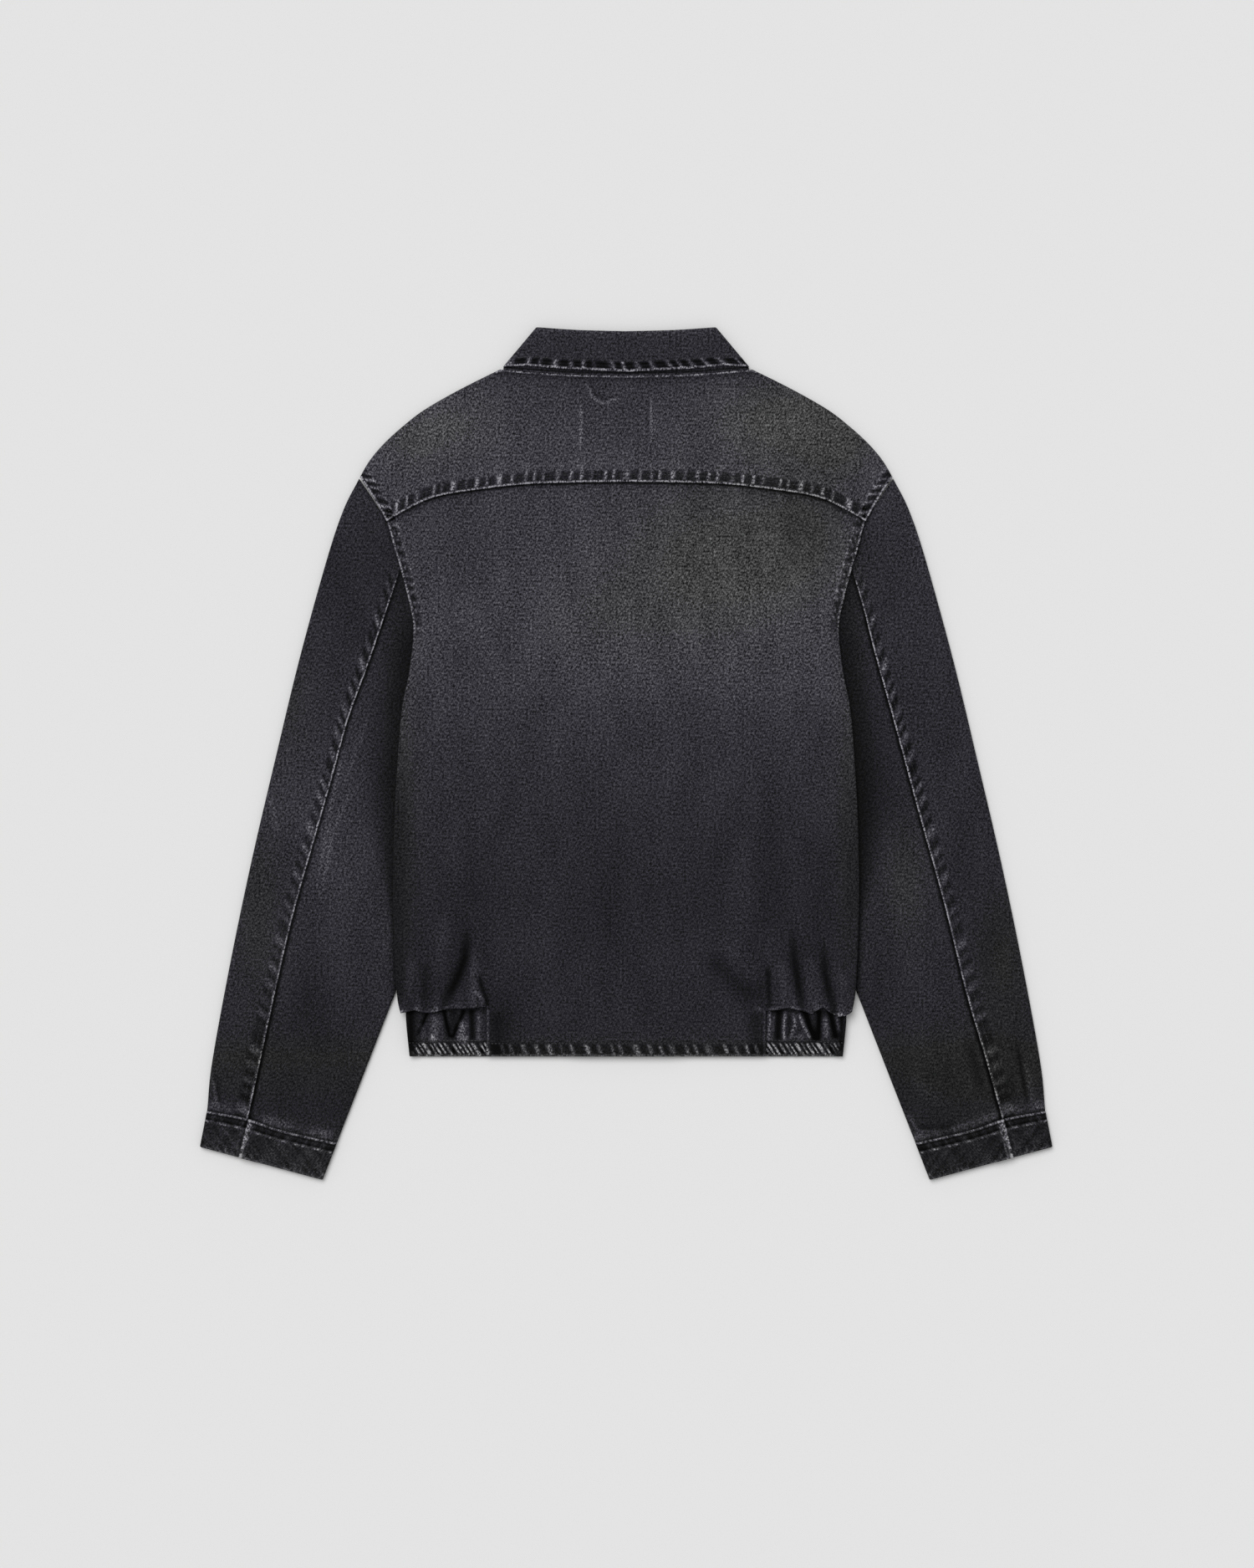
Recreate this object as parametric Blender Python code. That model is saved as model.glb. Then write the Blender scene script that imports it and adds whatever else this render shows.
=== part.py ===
"""A denim jacket laid flat on its front, with its back up: every cut piece is a thin wall of cloth.

Sizes are in millimetres until a mesh is made. +X is the wearer's right, +Y runs to the collar and +Z is
up from the surface that the jacket lies on. "Back" layers face up and "front" layers face down.
"""

from collections import namedtuple

import bpy
import numpy as np

MM = 0.001

# Thicknesses and heights. A height is that of a layer's middle surface.
CLOTH = 1.2  # one layer of denim with its seam allowance
CUFF_CLOTH = 1.8  # a cuff is two layers
SEAM_GAP = 0.3
LAYER = CLOTH + SEAM_GAP  # from one layer's middle to the next one lying on it
FLOOR_LAYER = CLOTH / 2
SLEEVE_RISE = 3.6  # from a sleeve's front layer to its back layer
SLEEVE_STACK = SLEEVE_RISE + LAYER  # what a sleeve under the body raises the body by
BODY_RISE = 3.9  # from the fronts to the back
CUFF_RISE = 4.0
COLLAR_RISE = 2.4  # from the stand's back to the fall's back

# Buttons and the front edges that they close.
BUTTON_RADIUS = 8.5
BUTTON_HEIGHT = 2.4
BUTTON_RIM = 0.9
BUTTON_STACK = BUTTON_HEIGHT + SEAM_GAP
BUTTON_COUNT = 6
TOP_BUTTON_Y = 250.0
LOW_BUTTON_Y = -262.0
BUTTON_STEPS = 12
LAP_HALF = 15.5  # each front passes the centre line by this much
LAP_FLAT = 35.0  # the lap stays level to here, and slopes down to the floor at LAP_FOOT
LAP_FOOT = 66.0

# Levels down the body.
BLOUSE_Y = -240.0  # where the body's cloth turns in over the gathered bands
HEM_Y = -283.0
BAND_TUCK = 6.0  # how far a band's back goes up under the body's cloth
TAB_PART = 0.62  # part of the body's half width where the hem is not gathered
FRONT_TAB_PART = 0.65  # the same at the front, as part of the columns' run
YOKE_LAP = 8.0  # how far the back panel goes up under the yoke
NECK_PART = 0.42  # part of the shoulder line's columns that lie on the neck
SHOULDER_EASE = 0.04  # part of the columns over which the shoulder's fold begins beside the neck
YOKE_RISE_PART = 0.68  # part of the yoke's depth where it starts to rise over the back panel
YOKE_RISE_RUN = 0.2

# How the body's cloth comes down beside the sleeve, or the collar's front, that lies under it.
TUCK_MARGIN = 21.0
TUCK_SLOPE = 30.0
TUCK_TOP_Y = 236.0
TUCK_FADE = 50.0
COLLAR_MARGIN = 25.0
COLLAR_SLOPE = 24.0
COLLAR_END_X = 150.0

# The low ridge that the front's lap makes in the back, and the body standing out over the bands.
LAP_RIDGE = LAYER + SEAM_GAP
RIDGE_TOP_Y = 356.0
RIDGE_FADE = 30.0
BLOUSE_HEIGHT = 2.0
BLOUSE_TOP_Y = -150.0
BLOUSE_LENGTH = 62.0
BLOUSE_EASE = 13.0
BLOUSE_CURL = 0.4
TAB_EDGE_X = 130.0
TAB_STITCH_Y = -262.0
GATHERS = 5  # ripples along each half of a band
GATHER = 0.4  # their height either way
BAND_END = 0.94  # part of a band's half width where the ripples stop
BAND_EASE = (0.55, 0.3)  # where along a band its tuck starts to fade, and over what run

# Folded edges. Each fold's radius is given as a part of the width or length that the fold ends.
FOLD_END = np.radians(72.0)  # a folded edge stops here, short of the other half of the fold
FOLD_STEPS = 2
SIDE_FOLD_Y = 185.0  # the body's sides are folded from here down, and open to the sleeves above
SIDE_FOLD_EASE = 25.0
YOKE_FOLD = 0.021
BACK_FOLD = 0.01
FRONT_FOLD = 0.0095
FRONT_TOP_FOLD = 0.0042
SLEEVE_BACK_FOLD = 0.016
SLEEVE_FRONT_FOLD = 0.0105
SLEEVE_INNER_FOLD = 0.02
CUFF_FOLD = 0.024
BAND_FOLD = 0.022
COLLAR_FOLD_STEPS = 5

# Sleeves: where their seams meet the armhole and the cuff.
ARMHOLE_SPAN = 0.86  # part of the top sleeve's front width that lies along the armhole
TOP_SEAM_PART = 0.31  # part of the cuff's width where the top sleeve's back ends
UNDER_SEAM_PART = 0.32

# The stand is this much smaller than the fall that folds over it.
STAND_PART = 0.965
STAND_NECK_INSET = 2.5
STAND_ROLL_INSET = 3.5

Point = namedtuple("Point", "x y")
Crease = namedtuple("Crease", "x_top y_top x_low y_low half_width depth")

SHOULDER = (
    Point(118.1, 358.9),
    Point(155.6, 340.2),
    Point(188.5, 321.4),
    Point(208.8, 305.8),
    Point(226.0, 290.1),
    Point(239.3, 274.5),
    Point(248.7, 258.8),
)
ARMHOLE = (
    Point(248.7, 258.8),
    Point(235.5, 238.0),
    Point(223.7, 217.4),
    Point(217.0, 194.0),
    Point(211.0, 174.4),
)
BODY_SIDE = (
    Point(211.0, 174.4),
    Point(203.5, 146.0),
    Point(198.4, 117.0),
    Point(202.2, 77.4),
    Point(208.6, 45.0),
    Point(212.2, 8.0),
    Point(216.2, -62.6),
    Point(217.4, -139.0),
    Point(214.3, -216.6),
    Point(210.7, -240.0),
)
BAND_SIDE = (Point(203.5, -232.0), Point(205.5, -246.0), Point(202.3, -283.0))
YOKE_SEAM = (
    Point(0.0, 254.2),
    Point(84.5, 252.6),
    Point(137.0, 247.2),
    Point(177.5, 240.4),
    Point(203.0, 229.5),
    Point(223.7, 217.4),
)
BACK_NECK = (Point(0.0, 353.0), Point(60.0, 354.5), Point(118.1, 358.9))
FRONT_NECK = (
    Point(-15.5, 266.0),
    Point(14.0, 266.0),
    Point(55.0, 273.0),
    Point(90.0, 295.0),
    Point(112.0, 330.0),
    Point(118.1, 358.9),
)
SLEEVE_OUTER = (
    Point(249.8, 256.6),
    Point(264.3, 227.6),
    Point(280.0, 180.6),
    Point(305.8, 86.8),
    Point(328.4, -7.0),
    Point(350.3, -100.9),
    Point(369.9, -194.7),
    Point(387.1, -288.6),
    Point(391.8, -334.4),
)
SLEEVE_SEAM_LEFT = (
    Point(211.0, 174.4),
    Point(229.5, 119.0),
    Point(242.4, 81.3),
    Point(260.4, 32.1),
    Point(273.7, -16.4),
    Point(289.3, -71.2),
    Point(308.9, -140.0),
    Point(321.4, -190.8),
    Point(337.0, -262.0),
    Point(354.0, -341.4),
)
SLEEVE_SEAM_RIGHT = (
    Point(211.0, 174.4),
    Point(222.9, 133.7),
    Point(232.3, 96.2),
    Point(253.0, 22.0),
    Point(275.0, -59.0),
    Point(297.6, -140.0),
    Point(318.3, -223.7),
    Point(336.3, -284.7),
    Point(352.0, -341.4),
)
SLEEVE_INNER = (
    Point(199.0, 168.0),
    Point(168.0, 128.0),
    Point(138.0, 84.0),
    Point(124.5, 48.0),
    Point(127.5, 8.0),
    Point(149.0, -50.0),
    Point(183.2, -138.0),
    Point(217.4, -226.0),
    Point(244.8, -296.5),
    Point(271.2, -364.0),
)
CUFF_SEAM = (
    Point(391.8, -334.7),
    Point(355.0, -341.7),
    Point(322.2, -352.7),
    Point(271.5, -364.4),
)
CUFF_EDGE = (Point(398.2, -367.6), Point(341.0, -383.0), Point(284.6, -398.2))
CUFF_LAP = 0.32  # part of the cuff's width, from the outer edge, where its lap ends
CUFF_UNDERLAP = 0.45  # the end under the lap starts here
COLLAR_ROLL = (Point(0.0, 394.4), Point(45.0, 395.6), Point(84.0, 398.2))
COLLAR_FALL = (Point(0.0, 357.8), Point(60.0, 360.8), Point(92.0, 363.2), Point(114.5, 362.0))
COLLAR_FRONT_ROLL = (
    Point(84.0, 398.2),
    Point(76.0, 362.0),
    Point(52.0, 322.0),
    Point(14.0, 297.5),
)
COLLAR_FRONT_FALL = (
    Point(114.5, 362.0),
    Point(117.0, 318.0),
    Point(106.0, 278.0),
    Point(80.0, 237.0),
)
BUTTON_PROFILE = (  # radius and height round a button's head, from its back to its face
    (0.0, BUTTON_HEIGHT),
    (6.1, BUTTON_HEIGHT),
    (BUTTON_RADIUS, 1.4),
    (BUTTON_RADIUS - 0.4, 0.25),
    (BUTTON_RADIUS - BUTTON_RIM, 0.0),
    (BUTTON_RADIUS - 2 * BUTTON_RIM, 0.5),
    (0.0, 0.3),
)
BACK_CREASES = (
    Crease(-137.0, -140.0, -172.0, -236.0, 7.0, 1.2),
    Crease(-139.0, -200.0, -132.0, -236.0, 5.0, 1.0),
    Crease(134.0, -196.0, 134.0, -238.0, 5.0, 1.2),
    Crease(159.0, -138.0, 160.5, -238.0, 6.0, 1.2),
    Crease(185.0, -170.0, 186.0, -238.0, 6.0, 1.2),
    Crease(-194.0, -180.0, -196.0, -238.0, 6.0, 1.2),
)


def smooth(part):
    """Eases from 0 to 1 as its argument does, level at both ends."""
    part = np.clip(part, 0.0, 1.0)
    return part * part * (3.0 - 2.0 * part)


def curve(rows, parts):
    """The smooth curve through a table's points, read at the given parts of its length."""
    knots = np.array(rows, float)
    ends = np.vstack([2 * knots[0] - knots[1], knots, 2 * knots[-1] - knots[-2]])
    at = np.linspace(0.0, len(knots) - 1.0, 20 * len(knots))
    first = np.minimum(at.astype(int), len(knots) - 2)
    t = (at - first)[:, None]
    a, b, c, d = (ends[first + i] for i in range(4))
    fine = b + 0.5 * t * (c - a + t * (2 * a - 5 * b + 4 * c - d + t * (3 * b - a - 3 * c + d)))
    length = np.append(0.0, np.cumsum(np.linalg.norm(np.diff(fine, axis=0), axis=1)))
    wanted = np.asarray(parts) * length[-1]
    return np.column_stack([np.interp(wanted, length, fine[:, i]) for i in range(2)])


def at_height(rows, y):
    """The x of a curve that runs down the jacket, at each height y."""
    fine = curve(rows, np.linspace(1.0, 0.0, 200))
    return np.interp(y, fine[:, 1], fine[:, 0])


def body_edge(y):
    """Points of the body's right edge, from the armhole to the bands, at each height y."""
    return np.column_stack([at_height(ARMHOLE[:-1] + BODY_SIDE, y), y])


def between(start, end, parts):
    """Values from start to end at the given parts of the way."""
    return start + (end - start) * parts


def patch(top, bottom, left, right, across, down):
    """A grid of points between four edges, each given at the grid's own columns or rows."""
    u = np.asarray(across)[None, :, None]
    v = np.asarray(down)[:, None, None]
    between_rows = (1 - v) * top[None] + v * bottom[None]
    between_columns = (1 - u) * left[:, None] + u * right[:, None]
    corners = (1 - v) * ((1 - u) * top[0] + u * top[-1]) + v * ((1 - u) * bottom[0] + u * bottom[-1])
    return between_rows + between_columns - corners


def fold_angles():
    """Angles round one half of a folded edge, from its flat side to the seam at its middle."""
    return np.linspace(0.0, FOLD_END, FOLD_STEPS + 1)


def folded(parts, share):
    """Parts of a width with the half fold's columns added at its far end, and their angles.

    share is the fold's radius as a part of that width.
    """
    angles = fold_angles()
    parts = np.asarray(parts)
    flat = parts[parts < 1.0 - 1.5 * share]
    return (
        np.concatenate([flat, 1.0 - share * (1.0 - np.sin(angles))]),
        np.concatenate([np.zeros(len(flat)), angles]),
    )


def side_fold(y):
    """From 0 to 1, how far the body's side is folded at height y."""
    return smooth((SIDE_FOLD_Y - y) / SIDE_FOLD_EASE)


def tucked(x, y):
    """From 0 to 1, how far the sleeve that lies under the body raises the cloth there."""
    inner = at_height(SLEEVE_INNER, y)
    near = smooth((np.abs(x) - inner + TUCK_MARGIN + TUCK_SLOPE) / TUCK_SLOPE)
    return near * smooth((TUCK_TOP_Y - y) / TUCK_FADE)


def lap(x):
    """From 0 to 1, how far the buttoned lap raises the cloth at a distance x from the centre."""
    return smooth((LAP_FOOT - np.abs(x)) / (LAP_FOOT - LAP_FLAT))


def over_collar(x, y):
    """From 0 to 1, how far the collar's front raises the cloth that lies on it."""
    edge = np.array((COLLAR_FRONT_ROLL[-1],) + COLLAR_FRONT_FALL[:0:-1])
    low = np.interp(np.abs(x), edge[:, 0], edge[:, 1])
    beside = smooth((COLLAR_END_X - np.abs(x)) / COLLAR_SLOPE)
    return beside * smooth((y - low + COLLAR_MARGIN + COLLAR_SLOPE) / COLLAR_SLOPE)


def front_height(x, y, lap_layers):
    """Height of a front: the left one lies on the buttons, and the right one on it as well."""
    stack = BUTTON_STACK + LAYER * lap_layers
    raised = np.maximum(stack * lap(x), LAYER * over_collar(x, y))
    return FLOOR_LAYER + np.maximum(raised, SLEEVE_STACK * tucked(x, y))


def creases(rows, x, y):
    """Depth of the creases in a table: a soft trough along each line, fading at its upper end."""
    depth = np.zeros(np.shape(x))
    for row in rows:
        along = (y - row.y_top) / (row.y_low - row.y_top)
        across = x - (row.x_top + (row.x_low - row.x_top) * along)
        depth += row.depth * np.exp(-((across / row.half_width) ** 2)) * smooth(along * 2.5)
    return depth


def back_base(x, y):
    """Height of the back with no creases."""
    ridge = LAP_RIDGE * lap(x) * smooth((RIDGE_TOP_Y - y) / RIDGE_FADE)
    return FLOOR_LAYER + BODY_RISE + SLEEVE_STACK * tucked(x, y) + ridge


def back_height(x, y):
    """Height of the back panel, which stands out over the gathered bands and turns in at its edge."""
    beside_tab = smooth((np.abs(x) - TAB_EDGE_X + BLOUSE_EASE) / BLOUSE_EASE)
    above_hem = smooth((y - TAB_STITCH_Y) / (BLOUSE_Y - TAB_STITCH_Y))
    blouse = BLOUSE_HEIGHT * smooth((BLOUSE_TOP_Y - y) / BLOUSE_LENGTH)
    curl = BLOUSE_CURL * smooth((BLOUSE_Y + BLOUSE_EASE - y) / BLOUSE_EASE)
    depth = creases(BACK_CREASES, x, y)
    return back_base(x, y) + beside_tab * above_hem * (blouse - curl - depth)


def raised(plan, height):
    """A grid of plan points with their heights."""
    return np.concatenate([plan, height[..., None]], axis=2)


def mirrored(grid):
    """The same grid on the jacket's other side, with its outer face still outwards."""
    return grid[:, ::-1] * np.array([-1.0, 1.0, 1.0][: grid.shape[2]])


def both_sides(half):
    """A grid across the whole jacket from its right half, whose first column is on the centre line."""
    return np.concatenate([mirrored(half), half[:, 1:]], axis=1)


def cloth(name, grid, material, left=False, kept=None, thickness=CLOTH):
    """A wall of even thickness round a grid of middle points.

    left mirrors a piece that is given for the right side, and kept says which cells are cloth.
    """
    rows, columns = grid.shape[:2]
    index = np.arange(rows * columns).reshape(rows, columns)
    cells = np.stack([index[:-1, :-1], index[1:, :-1], index[1:, 1:], index[:-1, 1:]], axis=2)
    cells = cells.reshape(-1, 4) if kept is None else cells[kept]
    used, faces = np.unique(cells, return_inverse=True)
    points, faces = grid.reshape(-1, 3)[used] * MM, faces.reshape(-1, 4)
    if left:
        points, faces = points * [-1, 1, 1], faces[:, [0, 3, 2, 1]]
    mesh = bpy.data.meshes.new(name)
    mesh.from_pydata(points.tolist(), [], faces.tolist())
    mesh.materials.append(material)
    piece = bpy.data.objects.new(name, mesh)
    bpy.context.scene.collection.objects.link(piece)
    wall = piece.modifiers.new("thickness", "SOLIDIFY")
    wall.thickness = thickness * MM
    wall.offset = 0.0
    wall.use_quality_normals = True
    return piece


def finish(name, colour, roughness, metallic=0.0):
    """A plain finish: base colour, roughness and whether it is metal."""
    material = bpy.data.materials.new(name)
    material.use_nodes = True
    shader = material.node_tree.nodes["Principled BSDF"]
    shader.inputs["Base Color"].default_value = (*colour, 1.0)
    shader.inputs["Roughness"].default_value = roughness
    shader.inputs["Metallic"].default_value = metallic
    return material


def shoulder_line(parts, neck):
    """The neck seam and then the shoulder line, as one edge read at parts of its columns."""
    parts = np.asarray(parts)
    on_neck = parts <= NECK_PART
    first = curve(neck, parts[on_neck] / NECK_PART)
    second = curve(SHOULDER, (parts[~on_neck] - NECK_PART) / (1.0 - NECK_PART))
    return np.concatenate([first, second])


def make_yoke(denim):
    """The back yoke, from the neck and shoulders to its seam, lying on the back panel's top edge."""
    across = np.array([0.0, 0.12, 0.22, 0.32, NECK_PART, 0.46, 0.55, 0.66, 0.78, 0.9, 1.0])
    down, angles = folded([0.0, 0.09, 0.2, 0.45, 0.75], YOKE_FOLD)
    down, angles = 1.0 - down[::-1], angles[::-1]
    top = shoulder_line(across, BACK_NECK)
    low = curve(YOKE_SEAM, across)
    sides = body_edge(between(SHOULDER[-1].y, YOKE_SEAM[-1].y, down))
    centre = np.column_stack([np.zeros(len(down)), between(BACK_NECK[0].y, YOKE_SEAM[0].y, down)])
    half = patch(top, low, centre, sides, across, down)
    x, y = half[..., 0], half[..., 1]
    on_lap = (LAYER + 2 * SEAM_GAP) * smooth((down - YOKE_RISE_PART) / YOKE_RISE_RUN)[:, None]
    level = back_base(x, y) + on_lap
    middle = (level + front_height(x, y, 0)) / 2
    beside_neck = smooth((across - NECK_PART) / SHOULDER_EASE)[None, :]
    turned = beside_neck * (1.0 - np.cos(angles))[:, None]
    height = level - (level - middle) * turned
    return cloth("back_yoke", both_sides(raised(half, height)), denim)


def make_back(denim):
    """The back panel, whose middle runs down to the hem between the two gathered bands."""
    columns = [0, 0.15, 0.3, 0.45, 0.56, TAB_PART, 0.67, 0.72, 0.77, 0.82, 0.87, 0.92, 0.96]
    across, angles = folded(columns, BACK_FOLD)
    down = np.array(
        [0, 0.017, 0.06, 0.12, 0.2, 0.29, 0.39, 0.5, 0.61, 0.71, 0.79, 0.86, 0.92, 0.97, 1]
    )
    top = curve(YOKE_SEAM, across) + [0.0, YOKE_LAP]
    sides = body_edge(between(YOKE_SEAM[-1].y + YOKE_LAP, BLOUSE_Y, down))
    top[-1] = sides[0]
    centre = np.column_stack([np.zeros(len(down)), between(top[0, 1], BLOUSE_Y, down)])
    low = np.column_stack([across * sides[-1, 0], np.full(len(across), BLOUSE_Y)])
    half = patch(top, low, centre, sides, across, down)
    tab = [half[-1:] * [1, 0] + [0, y] for y in (TAB_STITCH_Y, HEM_Y)]
    plan = both_sides(np.concatenate([half] + tab))
    x, y = plan[..., 0], plan[..., 1]
    level = back_height(x, y)
    turn = np.concatenate([angles[:0:-1], angles])[None, :]
    drop = (level - front_height(x, y, 0)) / 2 * (1.0 - np.cos(turn)) * side_fold(y)
    kept = np.ones((plan.shape[0] - 1, plan.shape[1] - 1), bool)
    beside = np.abs(x[-1, :-1] + x[-1, 1:]) / 2 > TAB_PART * sides[-1, 0]
    kept[-2:, beside] = False
    return cloth("back_panel", raised(plan, level - drop), denim, kept=kept)


def make_front(name, denim, lap_layers, left):
    """One front, from the lap to the side; it lies on the floor but for what it rests on."""
    columns = [0, 0.08, 0.17, 0.28, 0.36, NECK_PART, 0.5, 0.6, FRONT_TAB_PART, 0.75, 0.84, 0.92]
    across, angles = folded(columns, FRONT_FOLD)
    rows = [0.0, 0.03, 0.08, 0.16, 0.26, 0.38, 0.5, 0.61, 0.7, 0.78, 0.85, 0.9, 0.95]
    down, top_angles = folded(rows, FRONT_TOP_FOLD)
    down, top_angles = 1.0 - down[::-1], top_angles[::-1]
    top = shoulder_line(across, FRONT_NECK)
    sides = body_edge(between(SHOULDER[-1].y, BLOUSE_Y, down))
    centre_y = between(FRONT_NECK[0].y, BLOUSE_Y, down)
    centre = np.column_stack([np.full(len(down), -LAP_HALF), centre_y])
    tab_x = TAB_PART * sides[-1, 0]
    column = np.interp(across, [0.0, FRONT_TAB_PART, 1.0], [-LAP_HALF, tab_x, sides[-1, 0]])
    low = np.column_stack([column, np.full(len(across), BLOUSE_Y)])
    half = patch(top, low, centre, sides, across, down)
    half = np.concatenate([half] + [half[-1:] * [1, 0] + [0, y] for y in (TAB_STITCH_Y, HEM_Y)])
    x, y = half[..., 0], half[..., 1]
    level = front_height(x, y, lap_layers)
    rise = (back_base(x, y) - level) / 2
    shoulder = smooth((across - NECK_PART) / SHOULDER_EASE)[None, :]
    over_top = np.zeros(len(half))
    over_top[: len(down)] = 1.0 - np.cos(top_angles)
    side_turn = (1.0 - np.cos(angles))[None, :] * side_fold(y)
    level = level + rise * np.maximum(side_turn, over_top[:, None] * shoulder)
    kept = np.ones((half.shape[0] - 1, half.shape[1] - 1), bool)
    kept[-2:, (across[:-1] + across[1:]) / 2 > FRONT_TAB_PART] = False
    # The outer face of a front is underneath, so its columns run the other way.
    return cloth(name, raised(half, level)[:, ::-1], denim, left, kept[:, ::-1])


def sleeve_rows():
    """Parts of a sleeve's length at which its rows lie."""
    return np.array([0, 0.04, 0.09, 0.16, 0.24, 0.33, 0.43, 0.54, 0.66, 0.78, 0.9, 1.0])


def sleeve_edge(rows, down):
    """An edge of the sleeve, ending just short of the cuff."""
    line = curve(rows, down)
    line[-1] += [0.0, SEAM_GAP]
    return line


def armhole_edge(parts):
    """The sleeve's own armhole edge, a gap away from the body, read at parts of its length."""
    line = curve(ARMHOLE, parts)
    return line + np.array([4 * SEAM_GAP, -2 * SEAM_GAP])


def cuff_line(start, end, parts):
    """The cuff seam between two parts of its width, read at parts between them."""
    line = curve(CUFF_SEAM, between(start, end, parts))
    return line + [0.0, 2 * SEAM_GAP]


def fit_corners(top, bottom, left, right):
    """The four edges of a patch with their ends brought together."""
    top[0], top[-1] = left[0], right[0]
    bottom[0], bottom[-1] = left[-1], right[-1]
    return top, bottom, left, right


def make_top_sleeve(name, denim, left):
    """The top sleeve: from the back seam round the outer edge and across the front to the inner edge."""
    down = sleeve_rows()
    outer = sleeve_edge(SLEEVE_OUTER, down)
    seam = sleeve_edge(SLEEVE_SEAM_LEFT if left else SLEEVE_SEAM_RIGHT, down) + [SEAM_GAP, 0.0]
    inner = sleeve_edge(SLEEVE_INNER, down)
    back_parts, back_angles = folded([0.0, 0.35, 0.7], SLEEVE_BACK_FOLD)
    low = cuff_line(TOP_SEAM_PART, 0.0, back_parts)
    edges = fit_corners(armhole_edge(1.0 - back_parts), low, seam, outer)
    back = patch(*edges, back_parts, down)
    front_parts, front_angles = folded([0.25, 0.45, 0.65, 0.82], SLEEVE_FRONT_FOLD)
    near = SLEEVE_FRONT_FOLD * (1.0 - np.sin(fold_angles()[::-1]))
    front_parts = np.concatenate([near, front_parts])
    front_angles = np.concatenate([fold_angles()[::-1], front_angles])
    top = armhole_edge(np.clip(front_parts / ARMHOLE_SPAN, 0.0, 1.0))
    beyond = np.clip((front_parts - ARMHOLE_SPAN) / (1.0 - ARMHOLE_SPAN), 0.0, 1.0)[:, None]
    top += beyond * (inner[0] - top[-1])
    edges = fit_corners(top, cuff_line(0.0, 1.0, front_parts), outer, inner)
    front = patch(*edges, front_parts, down)
    back_level = FLOOR_LAYER + SLEEVE_RISE / 2 * (1.0 + np.cos(back_angles))
    front_level = FLOOR_LAYER + SLEEVE_RISE / 2 * (1.0 - np.cos(front_angles))
    back = raised(back, np.broadcast_to(back_level, back.shape[:2]))
    front = raised(front, np.broadcast_to(front_level, front.shape[:2]))
    grid = np.concatenate([back, front], axis=1)
    return cloth(name, grid, denim, left)


def make_under_sleeve(name, denim, left):
    """The under sleeve: from the inner edge, under the body, out to the back seam."""
    down = sleeve_rows()
    seam = sleeve_edge(SLEEVE_SEAM_LEFT if left else SLEEVE_SEAM_RIGHT, down)
    inner = sleeve_edge(SLEEVE_INNER, down)
    parts, angles = folded([0.0, 0.3, 0.55, 0.8], SLEEVE_INNER_FOLD)
    top = between(seam[0], inner[0], parts[:, None])
    edges = fit_corners(top, cuff_line(UNDER_SEAM_PART, 1.0, parts), seam, inner)
    plan = patch(*edges, parts, down)[:, ::-1]
    level = FLOOR_LAYER + SLEEVE_RISE / 2 * (1.0 + np.cos(angles[::-1]))
    grid = raised(plan, np.broadcast_to(level, plan.shape[:2]))
    return cloth(name, grid, denim, left)


def make_cuff(name, denim, left):
    """A cuff: from its hidden lap round the outer edge, across the front and back over itself."""
    quarter = np.linspace(0.0, np.pi / 2, 4)
    inset = CUFF_FOLD * (1.0 - np.sin(quarter))
    under = np.array([CUFF_UNDERLAP, CUFF_LAP, 0.16])
    front = np.array([0.3, 0.55, 0.8])
    over = np.array([0.72, CUFF_UNDERLAP + 0.06, CUFF_UNDERLAP - 0.03, CUFF_LAP])
    parts = np.concatenate([under, inset, inset[-2::-1], front, 1 - inset, 1 - inset[-2::-1], over])
    floor = CUFF_CLOTH / 2
    half_circle = floor + CUFF_RISE / 2 * (1.0 + np.cos(np.linspace(0.0, np.pi, 7)))
    lapped = floor + CUFF_RISE + np.array([0.0, 0.0, 1.0, 1.0]) * (CUFF_CLOTH + SEAM_GAP)
    level = np.concatenate(
        [np.full(3, floor + CUFF_RISE), half_circle, np.full(3, floor), half_circle[::-1], lapped]
    )
    top = curve(CUFF_SEAM, parts)
    low = curve(CUFF_EDGE, parts)
    plan = between(top[None], low[None], np.array([0.0, 0.5, 1.0])[:, None, None])
    grid = raised(plan, np.broadcast_to(level, plan.shape[:2]))
    return cloth(name, grid, denim, left, thickness=CUFF_CLOTH)


def make_hem_band(name, denim, left):
    """A gathered band: from the back's hem round the side to the front's hem."""
    parts, angles = folded(np.linspace(0.0, BAND_END, 2 * GATHERS + 1), BAND_FOLD)
    down = np.array([0.0, 0.2, 0.5, 0.8, 1.0])
    tab_x = TAB_PART * BODY_SIDE[-1].x + SEAM_GAP
    ripple = GATHER * np.cos(2 * np.pi * GATHERS * parts / BAND_END) * (angles == 0)
    ease_from, ease_run = BAND_EASE
    sides = []
    for back in (True, False):
        tuck = BAND_TUCK * (1.0 - smooth((parts - ease_from) / ease_run)) * back
        y = between((BLOUSE_Y - SEAM_GAP + tuck)[None, :], HEM_Y, down[:, None])
        plan_x = between(tab_x, at_height(BAND_SIDE, y), parts[None, :])
        low = front_height(plan_x, y, 0)
        high = back_base(plan_x, y) - LAYER
        level = high + ripple if back else low + ripple + GATHER * (angles == 0)
        middle = (low + high) / 2
        level = level - (level - middle) * (1.0 - np.cos(angles * np.pi / 2 / FOLD_END))
        sides.append(np.stack([plan_x, y, level], axis=2))
    grid = np.concatenate([sides[0], sides[1][:, -2::-1]], axis=1)
    return cloth(name, grid, denim, left)


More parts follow.
